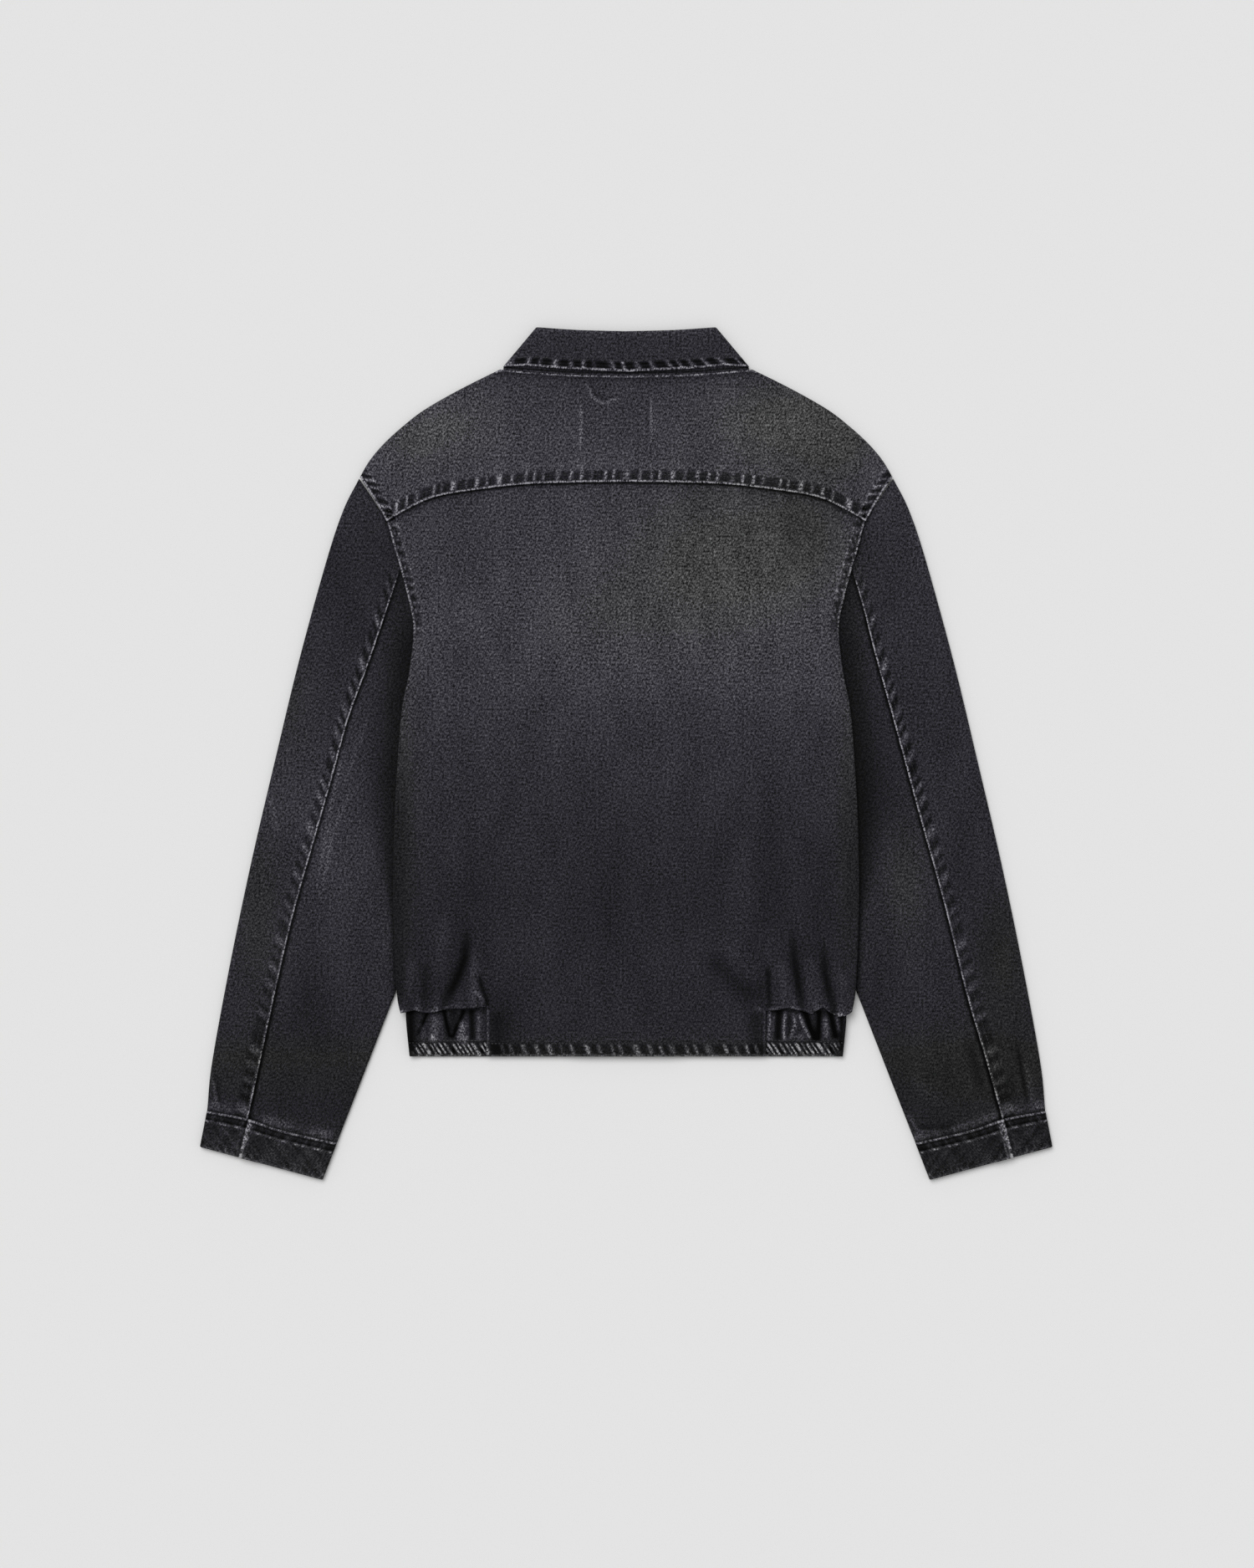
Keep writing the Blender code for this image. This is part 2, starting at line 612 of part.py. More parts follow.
def collar_plan(back_roll, back_edge, front_roll, front_edge, inset, across):
    """Plan points of half a collar piece: its back, the fold at the side of the neck, and its front.

    Each row of the returned grid is at one part of the depth from the roll line to the edge. The
    fold's columns are shared by back and front, drawn in from the outline by inset.
    """
    along = np.array([0.0, 0.2, 0.4, 0.6, 0.8, 1.0])
    down = across[:, None, None]
    back = between(curve(back_roll, along)[None], curve(back_edge, along)[None], down)
    front = between(curve(front_roll, along)[None], curve(front_edge, along)[None], down)
    outline = back[-1, -1] - back[0, -1]
    outward = np.array([-outline[1], outline[0]]) / np.linalg.norm(outline)
    back[:, -1] -= outward * inset
    front[:, 0] -= outward * inset
    return back, front, outward


def fold_between(edge, outward, high, low, steps):
    """Columns round a whole fold between two heights, whose flat edges both lie at edge."""
    angles = np.linspace(0.0, np.pi, steps + 1)[1:-1]
    radius = (high - low) / 2
    plan = edge[:, None] + outward * (radius * np.sin(angles))[None, :, None]
    height = (high + low) / 2 + radius * np.cos(angles)
    return raised(plan, np.broadcast_to(height, plan.shape[:2]))


def make_collar(denim):
    """The collar's stand and its fall, each one strip from one front end round the neck to the other."""
    neck_level = FLOOR_LAYER + BODY_RISE
    fall_back = neck_level + COLLAR_RISE
    stand_front = FLOOR_LAYER + LAYER

    # The fall: its roll edge turns down to meet the stand's, which turns up.
    depth = np.array([0.0, 0.03, 0.35, 0.7, 1.0])
    turn = np.array([1.0, 0.0, 0.0, 0.0, 0.0])[:, None]
    reach = (fall_back - FLOOR_LAYER) / 2
    back, front, outward = collar_plan(
        COLLAR_ROLL, COLLAR_FALL, COLLAR_FRONT_ROLL, COLLAR_FRONT_FALL, reach, depth
    )
    ease = (COLLAR_RISE - LAYER) * turn
    back_grid = raised(back, np.broadcast_to(fall_back - ease, back.shape[:2]))
    front_grid = raised(front, np.full(front.shape[:2], FLOOR_LAYER))
    fold = fold_between(back[:, -1], outward, fall_back, FLOOR_LAYER, COLLAR_FOLD_STEPS)
    half = np.concatenate([back_grid, fold, front_grid], axis=1)
    cloth("collar_fall", both_sides(half), denim)

    # The stand, inside the fall's fold and butted to the yoke and the fronts at the neck seam.
    depth = np.array([0.0, 0.45, 1.0])
    neck = [Point(p.x * STAND_PART, p.y + 2 * SEAM_GAP) for p in BACK_NECK]
    roll = [Point(p.x * STAND_PART, p.y - CLOTH) for p in COLLAR_ROLL]
    front_neck = [Point(p.x - STAND_NECK_INSET, p.y + STAND_NECK_INSET) for p in FRONT_NECK[:0:-1]]
    front_neck[0] = neck[-1]
    front_roll = [Point(p.x - STAND_ROLL_INSET, p.y - CLOTH) for p in COLLAR_FRONT_ROLL]
    front_roll[0] = roll[-1]
    reach = (neck_level - stand_front) / 2 + LAYER
    back, front, outward = collar_plan(roll, neck, front_roll, front_neck, reach, depth)
    side = both_sides(np.concatenate([back, front[:, 1:]], axis=1))
    x, y = side[..., 0], side[..., 1]
    is_front = np.zeros(side.shape[:2], bool)
    count = front.shape[1] - 1
    is_front[:, :count] = True
    is_front[:, -count:] = True
    layers = (x > 0).astype(float)
    level = np.where(is_front, np.maximum(front_height(x, y, layers), stand_front), neck_level)
    fold_height = (neck_level + stand_front) / 2
    level[:, count] = level[:, -count - 1] = fold_height
    side[:, count] += np.array([-1.0, 1.0]) * outward * (neck_level - stand_front) / 2
    side[:, -count - 1] += outward * (neck_level - stand_front) / 2
    cloth("collar_stand", raised(side, level), denim)


def make_button(name, y, metal):
    """One shank button, its rimmed head down on the floor under the left front."""
    points = [(r * MM, 0.0, z * MM) for r, z in BUTTON_PROFILE]
    edges = [(i, i + 1) for i in range(len(points) - 1)]
    mesh = bpy.data.meshes.new(name)
    mesh.from_pydata(points, edges, [])
    mesh.materials.append(metal)
    button = bpy.data.objects.new(name, mesh)
    bpy.context.scene.collection.objects.link(button)
    button.location = (0.0, y * MM, 0.0)
    turned = button.modifiers.new("turned", "SCREW")
    turned.axis = "Z"
    turned.steps = BUTTON_STEPS
    turned.render_steps = BUTTON_STEPS
    turned.use_merge_vertices = True
    turned.merge_threshold = 0.01 * MM
    return button


def main():
    for old in list(bpy.data.objects):
        bpy.data.objects.remove(old, do_unlink=True)
    denim = finish("washed_denim", (0.045, 0.043, 0.05), 0.92)
    metal = finish("aged_metal", (0.42, 0.40, 0.37), 0.4, 1.0)
    make_yoke(denim)
    make_back(denim)
    make_front("front_left", denim, 0, True)
    make_front("front_right", denim, 1, False)
    make_collar(denim)
    for side, left in (("left", True), ("right", False)):
        make_top_sleeve(f"sleeve_top_{side}", denim, left)
        make_under_sleeve(f"sleeve_under_{side}", denim, left)
        make_cuff(f"cuff_{side}", denim, left)
        make_hem_band(f"hem_band_{side}", denim, left)
    for number in range(BUTTON_COUNT):
        part = number / (BUTTON_COUNT - 1)
        make_button(f"button_{number + 1}", TOP_BUTTON_Y + (LOW_BUTTON_Y - TOP_BUTTON_Y) * part, metal)


main()
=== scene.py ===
"""A washed denim jacket laid flat on its front, seen straight from above, with its back up.

Sizes are in millimetres until a mesh is made. +X is the wearer's right, +Y runs to the collar and +Z is
up from the surface that the jacket lies on. Every cut piece is a thin shell worked out on a grid.
"""

import logging
import math
from dataclasses import dataclass, field
from enum import Enum
from typing import Callable, Optional, Sequence

import bpy
import numpy as np
from bpy.types import Material, Mesh, Node, NodeSocket, NodeTree, Object
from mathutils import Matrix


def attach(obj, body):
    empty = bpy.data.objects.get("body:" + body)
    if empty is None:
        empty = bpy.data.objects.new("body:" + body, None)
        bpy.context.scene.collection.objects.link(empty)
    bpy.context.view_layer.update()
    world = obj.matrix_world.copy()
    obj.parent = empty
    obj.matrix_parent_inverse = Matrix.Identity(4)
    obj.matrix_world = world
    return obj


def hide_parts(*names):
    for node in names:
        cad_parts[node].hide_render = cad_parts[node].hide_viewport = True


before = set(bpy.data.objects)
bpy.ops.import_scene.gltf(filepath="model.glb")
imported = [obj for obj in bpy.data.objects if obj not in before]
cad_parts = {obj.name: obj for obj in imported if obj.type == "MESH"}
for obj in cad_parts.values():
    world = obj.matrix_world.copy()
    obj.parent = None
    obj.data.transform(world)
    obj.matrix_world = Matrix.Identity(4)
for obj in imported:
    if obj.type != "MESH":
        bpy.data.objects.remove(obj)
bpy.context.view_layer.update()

log = logging.getLogger("denim_jacket")

MM = 0.001
Array = np.ndarray
Rows = Sequence[tuple[float, float]]


class Side(Enum):
    """A side of the jacket, with the sign of its X."""

    LEFT = -1
    RIGHT = 1

    @property
    def word(self) -> str:
        """The side's name as the pieces' names end with it."""
        return self.name.lower()


# Edges of the laid jacket's right half, each from its upper end. The left half mirrors them.
SHOULDER = (
    (118.1, 358.9), (155.6, 340.2), (188.5, 321.4), (208.8, 305.8), (226, 290.1), (239.3, 274.5),
    (248.7, 258.8),
)
ARMHOLE = ((248.7, 258.8), (235.5, 238), (223.7, 217.4), (217, 194), (211, 174.4))
BODY_SIDE = (
    (211, 174.4), (203.5, 146), (198.4, 117), (202.2, 77.4), (208.6, 45), (212.2, 8), (216.2, -62.6),
    (217.4, -139), (214.3, -216.6), (210.7, -240),
)
BAND_SIDE = ((203.5, -232), (205.5, -246), (202.3, -283))
YOKE_SEAM = (
    (0, 254.2), (84.5, 252.6), (137, 247.2), (177.5, 240.4), (203, 229.5), (223.7, 217.4),
)
BACK_NECK = ((0, 353), (60, 354.5), (118.1, 358.9))
FRONT_NECK = (
    (-15.5, 266), (14, 266), (55, 273), (90, 295), (112, 330), (118.1, 358.9),
)
SLEEVE_OUTER = (
    (249.8, 256.6), (264.3, 227.6), (280, 180.6), (305.8, 86.8), (328.4, -7), (350.3, -100.9),
    (369.9, -194.7), (387.1, -288.6), (391.8, -334.4),
)
SLEEVE_SEAM = {
    Side.LEFT: (
        (211, 174.4), (229.5, 119), (242.4, 81.3), (260.4, 32.1), (273.7, -16.4), (289.3, -71.2),
        (308.9, -140), (321.4, -190.8), (337, -262), (354, -341.4),
    ),
    Side.RIGHT: (
        (211, 174.4), (222.9, 133.7), (232.3, 96.2), (253, 22), (275, -59), (297.6, -140),
        (318.3, -223.7), (336.3, -284.7), (352, -341.4),
    ),
}
SLEEVE_INNER = (
    (199, 168), (168, 128), (138, 84), (124.5, 48), (127.5, 8), (149, -50), (183.2, -138), (217.4, -226),
    (244.8, -296.5), (271.2, -364),
)
CUFF_SEAM = ((391.8, -334.7), (355, -341.7), (322.2, -352.7), (271.5, -364.4))
CUFF_EDGE = ((398.2, -367.6), (341, -383), (284.6, -398.2))
COLLAR_ROLL = ((0, 394.4), (45, 395.6), (84, 398.2))
COLLAR_FALL = ((0, 357), (60, 360), (92, 362.6), (114.5, 361.8))
COLLAR_FRONT_ROLL = ((84, 398.2), (76, 362), (52, 322), (14, 297.5))
COLLAR_FRONT_FALL = ((114.5, 362), (117, 318), (106, 278), (80, 237))

# Distances from a sewn edge, in mm, at which a grid has its close lines, and the two rows of stitches.
SEAM_LINES = np.array([0, 0.5, 1.0, 1.6, 2.3, 3.1, 4.0, 5.0, 6.0, 6.8, 7.6, 8.6, 9.8, 11.4])
EDGE_ROW, FIRST_ROW = 4, 9
HEM_LINES = np.array([0, 0.6, 1.3, 2.2, 3.4, 4.8, 6.3, 7.8, 9.3, 10.6, 11.6, 12.6, 13.8, 15.4])
HEM_ROW = 10
FOLD_LINES = np.array([0, 0.8, 2.0, 4.0, 7.0])
FAR = 999.0  # a distance past all that an edge does to the cloth

INNER_GREY = 78.0  # the cloth's inner side shows more of its undyed weft
FULL_GREY = 160.0  # the grey level that the finish's last stop stands for


def smooth(part: Array) -> Array:
    """Eases from 0 to 1 as its argument does, level at both ends: 3 t squared less 2 t cubed."""
    part = np.clip(part, 0.0, 1.0)
    return part * part * (3.0 - 2.0 * part)


def bump(distance: Array, width: float) -> Array:
    """A bell: e to the power of minus the square of distance over width."""
    return np.exp(-((np.asarray(distance) / width) ** 2))


def uneven(along: Array, length: float, seed: float) -> Array:
    """A wave from about -1 to 1 whose peaks are about length apart, and never quite evenly.

    It is the sum of three sines whose lengths are in no simple ratio, each with its own phase.

    Args:
        along: Distances along the wave, in an array of any shape.
        length: About how far apart its peaks are.
        seed: Which of the many such waves it is.

    Returns:
        The wave's height at each distance.
    """
    turn = 2.0 * np.pi * np.asarray(along) / length
    first = np.sin(turn + 1.7 * seed + 1.3 * np.sin(0.23 * turn + seed))
    second = np.sin(0.618 * turn + 2.9 * seed)
    third = np.sin(1.73 * turn + 4.1 * seed + 0.8 * np.sin(0.31 * turn))
    return 0.55 * first + 0.3 * second + 0.3 * third


def curve(rows: Rows, parts: Array) -> Array:
    """The smooth curve through a table's points, read at the given parts of its length.

    It is the Catmull-Rom curve: between two points, a cubic whose slope at each one is half the step
    between that point's neighbours.

    Args:
        rows: Points x, y that the curve passes through.
        parts: Parts of its length, in an array of any shape.

    Returns:
        Points, in the shape of parts with one more axis.
    """
    knots = np.array(rows, float)
    ends = np.vstack([2 * knots[0] - knots[1], knots, 2 * knots[-1] - knots[-2]])
    at = np.linspace(0.0, len(knots) - 1.0, 40 * len(knots))
    first = np.minimum(at.astype(int), len(knots) - 2)
    t = (at - first)[:, None]
    a, b, c, d = (ends[first + i] for i in range(4))
    fine = b + 0.5 * t * (c - a + t * (2 * a - 5 * b + 4 * c - d + t * (3 * b - a - 3 * c + d)))
    length = np.append(0.0, np.cumsum(np.linalg.norm(np.diff(fine, axis=0), axis=1)))
    wanted = np.asarray(parts) * length[-1]
    return np.stack([np.interp(wanted, length, fine[:, i]) for i in range(2)], axis=-1)


def across_at(rows: Rows, y: Array) -> Array:
    """The x of a curve that runs down the jacket, at each height y."""
    fine = curve(rows, np.linspace(1.0, 0.0, 400))
    return np.interp(y, fine[:, 1], fine[:, 0])


def seam_at(rows: Rows, x: Array) -> Array:
    """The y of a curve that runs outwards from the centre, at each distance x from it."""
    fine = curve(rows, np.linspace(0.0, 1.0, 400))
    return np.interp(np.abs(x), fine[:, 0], fine[:, 1])


def stations(length: Array, start: Array, end: Array, step: float) -> Array:
    """Distances along lines of given lengths: close ones near each end and even ones between.

    Args:
        length: Each line's length, in an array.
        start: Distances from the start at which there are close stations.
        end: Distances from the end, likewise.
        step: The even stations' spacing on the longest line.

    Returns:
        Distances, one row for each line.
    """
    length = np.atleast_1d(length)[:, None]
    count = max(2, int(np.max(length) / step))
    part = np.linspace(0.0, 1.0, count + 1)[None, 1:-1]
    low, high = start[-1], length - end[-1]
    near = np.broadcast_to(start[None], (len(length), len(start)))
    return np.concatenate([near, low + (high - low) * part, length - end[None, ::-1]], axis=1)


def coons(top: Callable, bottom: Callable, left: Callable, right: Callable, u: Array, v: Array) -> Array:
    """Points of a patch between four curves: both straight blends, less that of the corners.

    Args:
        top: The curve along u where v is 0, as a function of an array of u.
        bottom: The same where v is 1.
        left: The curve along v where u is 0, as a function of an array of v.
        right: The same where u is 1.
        u: Parts of the way across.
        v: Parts of the way down, in a shape that fits u's.

    Returns:
        Points, in the joint shape of u and v with one more axis.
    """
    corner = [top(np.zeros(1))[0], top(np.ones(1))[0], bottom(np.zeros(1))[0], bottom(np.ones(1))[0]]
    u, v = np.broadcast_arrays(u, v)
    a, b = u[..., None], v[..., None]
    blend = (1 - b) * top(u) + b * bottom(u) + (1 - a) * left(v) + a * right(v)
    over = (1 - b) * ((1 - a) * corner[0] + a * corner[1]) + b * ((1 - a) * corner[2] + a * corner[3])
    return blend - over


def top_edge(neck: Rows, neck_part: float, parts: Array) -> Array:
    """A body piece's top edge: the neck's curve, and then the shoulder's on the other columns.

    Args:
        neck: The neck's points.
        neck_part: The part of the edge that the neck takes up.
        parts: Parts of the edge, in an array of any shape.

    Returns:
        Points, in the shape of parts with one more axis.
    """
    on_neck = curve(neck, np.clip(parts / neck_part, 0.0, 1.0))
    on_shoulder = curve(SHOULDER, np.clip((parts - neck_part) / (1.0 - neck_part), 0.0, 1.0))
    return np.where((parts <= neck_part)[..., None], on_neck, on_shoulder)


def whole(half: Sequence[Array]) -> list[Array]:
    """Grids across the whole jacket from its right half: the same in reverse and then as they are.

    Args:
        half: x, whose sign is turned on the left, and then other values on the same grid. The first
            column is the centre line.

    Returns:
        The same values from the left edge to the right one.
    """
    signs = [-1] + [1] * (len(half) - 1)
    return [np.concatenate([s * a[:, :0:-1], a], axis=1) for s, a in zip(signs, half)]


def facing_out(side: Side, reverse: Side, *grids: Array) -> list[Array]:
    """The grids, with their columns in reverse order on one side, so that the outer face looks out."""
    return [grid[:, ::-1] if side is reverse else grid for grid in grids]


@dataclass(frozen=True)
class Lay:
    """How the flat layers lie on each other: heights of their middle surfaces, in mm."""

    cloth: float = 1.2
    gap: float = 0.3
    body_rise: float = 3.9
    sleeve_rise: float = 3.6
    cuff_rise: float = 4.0
    collar_rise: float = 2.4
    button_stack: float = 2.7

    @property
    def floor(self) -> float:
        """The lowest layer's height."""
        return self.cloth / 2

    @property
    def layer(self) -> float:
        """From one layer to the next one lying on it."""
        return self.cloth + self.gap

    def tucked(self, x: Array, y: Array) -> Array:
        """From 0 to 1, how far the sleeve that lies under the body raises the cloth there."""
        near = smooth((np.abs(x) - across_at(SLEEVE_INNER, y) + 51.0) / 30.0)
        return near * smooth((236.0 - y) / 50.0)

    def lap(self, x: Array) -> Array:
        """From 0 to 1, how far the buttoned lap raises the cloth."""
        return smooth((66.0 - np.abs(x)) / 31.0)

    def over_collar(self, x: Array, y: Array) -> Array:
        """From 0 to 1, how far the collar's front raises the cloth that lies on it.

        Args:
            x: The points' x.
            y: Their y.

        Returns:
            That part at each point.
        """
        edge = np.array((COLLAR_FRONT_ROLL[-1],) + COLLAR_FRONT_FALL[:0:-1])
        low = np.interp(np.abs(x), edge[:, 0], edge[:, 1])
        return smooth((150.0 - np.abs(x)) / 24.0) * smooth((y - low + 49.0) / 24.0)

    def front(self, x: Array, y: Array, under: int) -> Array:
        """Height of a front that has the given number of layers of lap under it.

        Args:
            x: The points' x.
            y: Their y.
            under: How many layers of lap lie under it.

        Returns:
            The height of its middle surface, in mm.
        """
        stack = (self.button_stack + self.layer * under) * self.lap(x)
        raised = np.maximum(stack, self.layer * self.over_collar(x, y))
        return self.floor + np.maximum(raised, (self.sleeve_rise + self.layer) * self.tucked(x, y))

    def back(self, x: Array, y: Array) -> Array:
        """Height of the back, with a low ridge where the lap is under it.

        Args:
            x: The points' x.
            y: Their y.

        Returns:
            The height of its middle surface, in mm.
        """
        ridge = (self.layer + self.gap) * self.lap(x) * smooth((356.0 - y) / 30.0)
        sleeve = (self.sleeve_rise + self.layer) * self.tucked(x, y)
        return self.floor + self.body_rise + sleeve + ridge


@dataclass(frozen=True)
class Mark:
    """A crease, ridge or worn line in the cloth along a short run of points.

    rise is its height in mm, a trough where it is negative, and shade is what it adds to the cloth's
    lightness, in grey levels: painted shade in a crease's trough, painted light on a ridge, and the
    wash's wear on a worn line.
    """

    points: Rows
    width: float
    rise: float
    shade: float = 0.0
    taper: float = 0.3

    def profile(self, x: Array, y: Array) -> Array:
        """From 0 to 1: a bell across the line, which fades over taper of its length at each end.

        Args:
            x: The points' x.
            y: Their y.

        Returns:
            The bell at each point.
        """
        knots = np.array(self.points, float)
        steps = np.diff(knots, axis=0)
        lengths = np.linalg.norm(steps, axis=1)
        done = np.append(0.0, np.cumsum(lengths))
        far = np.full(np.shape(x), 1e9)
        part = np.zeros(np.shape(x))
        for i, (step, length) in enumerate(zip(steps, lengths)):
            t = ((x - knots[i, 0]) * step[0] + (y - knots[i, 1]) * step[1]) / length**2
            t = np.clip(t, 0.0, 1.0)
            away = np.hypot(x - knots[i, 0] - t * step[0], y - knots[i, 1] - t * step[1])
            closer = away < far
            far = np.where(closer, away, far)
            part = np.where(closer, (done[i] + t * length) / done[-1], part)
        ends = smooth(part / self.taper) * smooth((1.0 - part) / self.taper)
        return bump(far, self.width) * ends


@dataclass(frozen=True)
class Spot:
    """A soft patch that is washed lighter, or left darker, by some grey levels."""

    x: float
    y: float
    reach_x: float
    reach_y: float
    shade: float


@dataclass(frozen=True)
class Wash:
    """How light the wash leaves the cloth: grey levels down the jacket, and soft patches on them."""

    levels: Rows
    spots: Sequence[Spot] = ()

    def tone(self, x: Array, y: Array) -> Array:
        """Grey levels at points of the laid jacket: the level at y, plus each patch's bell.

        Args:
            x: The points' x.
            y: Their y.

        Returns:
            The grey level at each point.
        """
        heights, greys = np.array(sorted(self.levels)).T
        tone = np.interp(y, heights, greys)
        for spot in self.spots:
            away = ((x - spot.x) / spot.reach_x) ** 2 + ((y - spot.y) / spot.reach_y) ** 2
            tone = tone + spot.shade * np.exp(-away)
        return tone


@dataclass(frozen=True)
class Line:
    """A soft line beside an edge: its distance from it, half its width, and what its middle adds.

    That is grey levels, or mm where the line is part of a relief.
    """

    at: float
    width: float
    adds: float

    def beside(self, off: Array) -> Array:
        """What it adds at distances from the edge: a bell across the line."""
        return self.adds * bump(off - self.at, self.width)


@dataclass(frozen=True)
class Seam:
    """What a sewn edge does to the cloth beside it, by the distance from the edge.

    The turned-in allowance makes the strip thicker. Its rows of stitches pull it down and shrink it
    into narrow slanting folds, and the wash wears the edge and the folds' tops pale.

    pitch is from one fold to the next and sharp is half a fold's width as a part of that; worn, ticks,
    dark and ridge are grey levels at the edge, on the folds, between them and where the allowance ends.
    rim is half the worn edge's width, and scallop is how far each fold draws it up, in mm.
    """

    seed: float
    pitch: float = 10.5
    width: float = 8.0
    pad: float = 0.45
    pucker: float = 0.5
    worn: float = 55.0
    ticks: float = 36.0
    dark: float = 10.0
    rows: Sequence[float] = (6.8,)
    slant: float = 0.3
    beyond: float = 4.0
    sharp: float = 0.17
    ridge: float = 0.0
    rim: float = 0.8
    scallop: float = 0.0

    def folds(self, off: Array, along: Array) -> Array:
        """The narrow folds, about 1 at their tops: evenly spaced but for a slow wave, unlike in size.

        Args:
            off: Distances from the edge.
            along: Distances along it, in a shape that fits off's.

        Returns:
            The folds' part at each point, from 0.
        """
        run = along + self.slant * off
        phase = run / self.pitch + 0.3 * uneven(run, 3.7 * self.pitch, self.seed)
        which = np.round(phase)
        size = 0.72 + 0.4 * uneven(which, 2.3, self.seed + 2.0)
        return bump(phase - which, self.sharp) * np.clip(size, 0.15, 1.1)

    def strip(self, off: Array) -> Array:
        """From 0 to 1: where the folds are, from just inside the edge to past the allowance."""
        return smooth((off - 0.8) / 2.0) * (1.0 - smooth((off - self.width) / self.beyond))

    def relief(self, off: Array, along: Array) -> Array:
        """Height in mm: the padded strip, its folds, and a groove at each row of stitches.

        Args:
            off: Distances from the edge.
            along: Distances along it, in a shape that fits off's.

        Returns:
            What the seam adds to the cloth's height.
        """
        padded = self.pad * (1.0 - smooth((off - self.width) / 2.5))
        groove = sum(bump(off - row, 0.8) for row in self.rows)
        curl = 0.3 * (1.0 - smooth(off / 1.4))
        folds = self.pucker * (1.5 * self.folds(off, along) - 0.5) * self.strip(off)
        return padded + folds - 0.25 * groove - curl

    def shade(self, off: Array, along: Array) -> Array:
        """Grey levels: the worn edge, the pale folds with dark cloth between, and the stitch rows.

        Args:
            off: Distances from the edge.
            along: Distances along it, in a shape that fits off's.

        Returns:
            What the seam adds to the cloth's lightness.
        """
        fray = 0.72 + 0.34 * uneven(along, 1.9 * self.pitch, self.seed + 1.0)
        tops = self.folds(off, along)
        edge = self.worn * np.clip(fray, 0.2, 1.1) * bump(off - 0.6 - self.scallop * tops, self.rim)
        row = sum(bump(off - at, 0.8) for at in self.rows)
        patchy = np.clip(0.55 + 0.6 * uneven(along, 1.3 * self.pitch, self.seed + 3.0), 0.0, 1.1)
        end = self.ridge * patchy * bump(off - self.width - 0.8, 0.9)
        return edge + end + self.strip(off) * (self.ticks * tops - self.dark * (1.0 - tops)) - 17.0 * row


@dataclass
class Sheet:
    """One cut piece: its middle surface on a grid, and how light the cloth is at each point.

    The columns run so that, with the rows going down, the outer face looks out. shade and points have
    the same rows and columns. grain is where each point lies on the weave, which is its x and y unless
    it is given, and kept says which cells are cloth.
    """

    name: str
    points: Array
    shade: Array
    grain: Optional[Array] = None
    thickness: float = 1.0
    kept: Optional[Array] = None
    bareness: float = 1.0

    def __post_init__(self) -> None:
        """Works out the outward normals: the cross product of the steps down and across."""
        down = np.gradient(self.points, axis=0)
        across = np.gradient(self.points, axis=1)
        normal = np.cross(down, across)
        self.normal = normal / np.maximum(np.linalg.norm(normal, axis=2, keepdims=True), 1e-9)

    def outer(self, lift: float = 0.0) -> Array:
        """The outer face's points, moved out by lift."""
        return self.points + self.normal * (self.thickness / 2 + lift)

    def cells(self) -> Array:
        """The kept cells' corners, counter-clockwise as seen from outside.

        Returns:
            Four point numbers for each cell.
        """
        rows, columns = self.points.shape[:2]
        index = np.arange(rows * columns).reshape(rows, columns)
        cells = np.stack([index[:-1, :-1], index[1:, :-1], index[1:, 1:], index[:-1, 1:]], axis=2)
        return cells.reshape(-1, 4) if self.kept is None else cells[self.kept]

    def mesh(self) -> Mesh:
        """The closed shell: both faces half the thickness away, and a rounded rim between them.

        The rim's middle line stands out from the edge by a third of the thickness.

        Returns:
            The mesh, in metres, with a map of the cloth's grain and the lightness on its points.
        """
        cells = self.cells()
        used, faces = np.unique(cells, return_inverse=True)
        faces = faces.reshape(-1, 4)
        middle = self.points.reshape(-1, 3)[used]
        normal = self.normal.reshape(-1, 3)[used]
        count = len(used)
        start, end = faces.reshape(-1), np.roll(faces, -1, axis=1).reshape(-1)
        key, back = start * count + end, end * count + start
        rim = ~np.isin(key, back)
        start, end = start[rim], end[rim]
        outward = np.zeros_like(middle)
        way = np.cross(middle[end] - middle[start], normal[start])
        np.add.at(outward, start, way)
        np.add.at(outward, end, way)
        border = np.unique(start)
        outward = outward[border]
        outward /= np.maximum(np.linalg.norm(outward, axis=1, keepdims=True), 1e-9)
        half = self.thickness / 2
        ridge = middle[border] + outward * self.thickness / 3
        at = np.full(count, -1)
        at[border] = 2 * count + np.arange(len(border))
        points = np.concatenate([middle + normal * half, middle - normal * half, ridge])
        quads = np.concatenate(
            [
                faces,
                faces[:, ::-1] + count,
                np.stack([end, start, at[start], at[end]], axis=1),
                np.stack([at[end], at[start], start + count, end + count], axis=1),
            ]
        )
        shade = self.shade.reshape(-1)[used]
        grain = (self.points[..., :2] if self.grain is None else self.grain).reshape(-1, 2)[used]
        shades = np.concatenate([shade, np.full(count, INNER_GREY), shade[border]])
        grains = np.concatenate([grain, grain, grain[border]])
        mesh = bpy.data.meshes.new(self.name)
        mesh.from_pydata((points * MM).tolist(), [], quads.tolist())
        mesh.polygons.foreach_set("use_smooth", np.ones(len(quads), bool))
        bare = np.clip(BARE.tone(points[:, 0], points[:, 1]) * self.bareness, 0.0, 1.0)
        for kind, values in (("shade", shades / FULL_GREY), ("bare", bare)):
            tone = mesh.attributes.new(kind, "FLOAT", "POINT")
            tone.data.foreach_set("value", values.astype(np.float32))
        uv = mesh.uv_layers.new(name="grain")
        uv.data.foreach_set("uv", (grains[quads.reshape(-1)] * MM).astype(np.float32).reshape(-1))
        return mesh


@dataclass(frozen=True)
class Cut:
    """The flat cut of a piece in metres: its width, its length and its area, seams included."""

    width: float
    length: float
    area: float


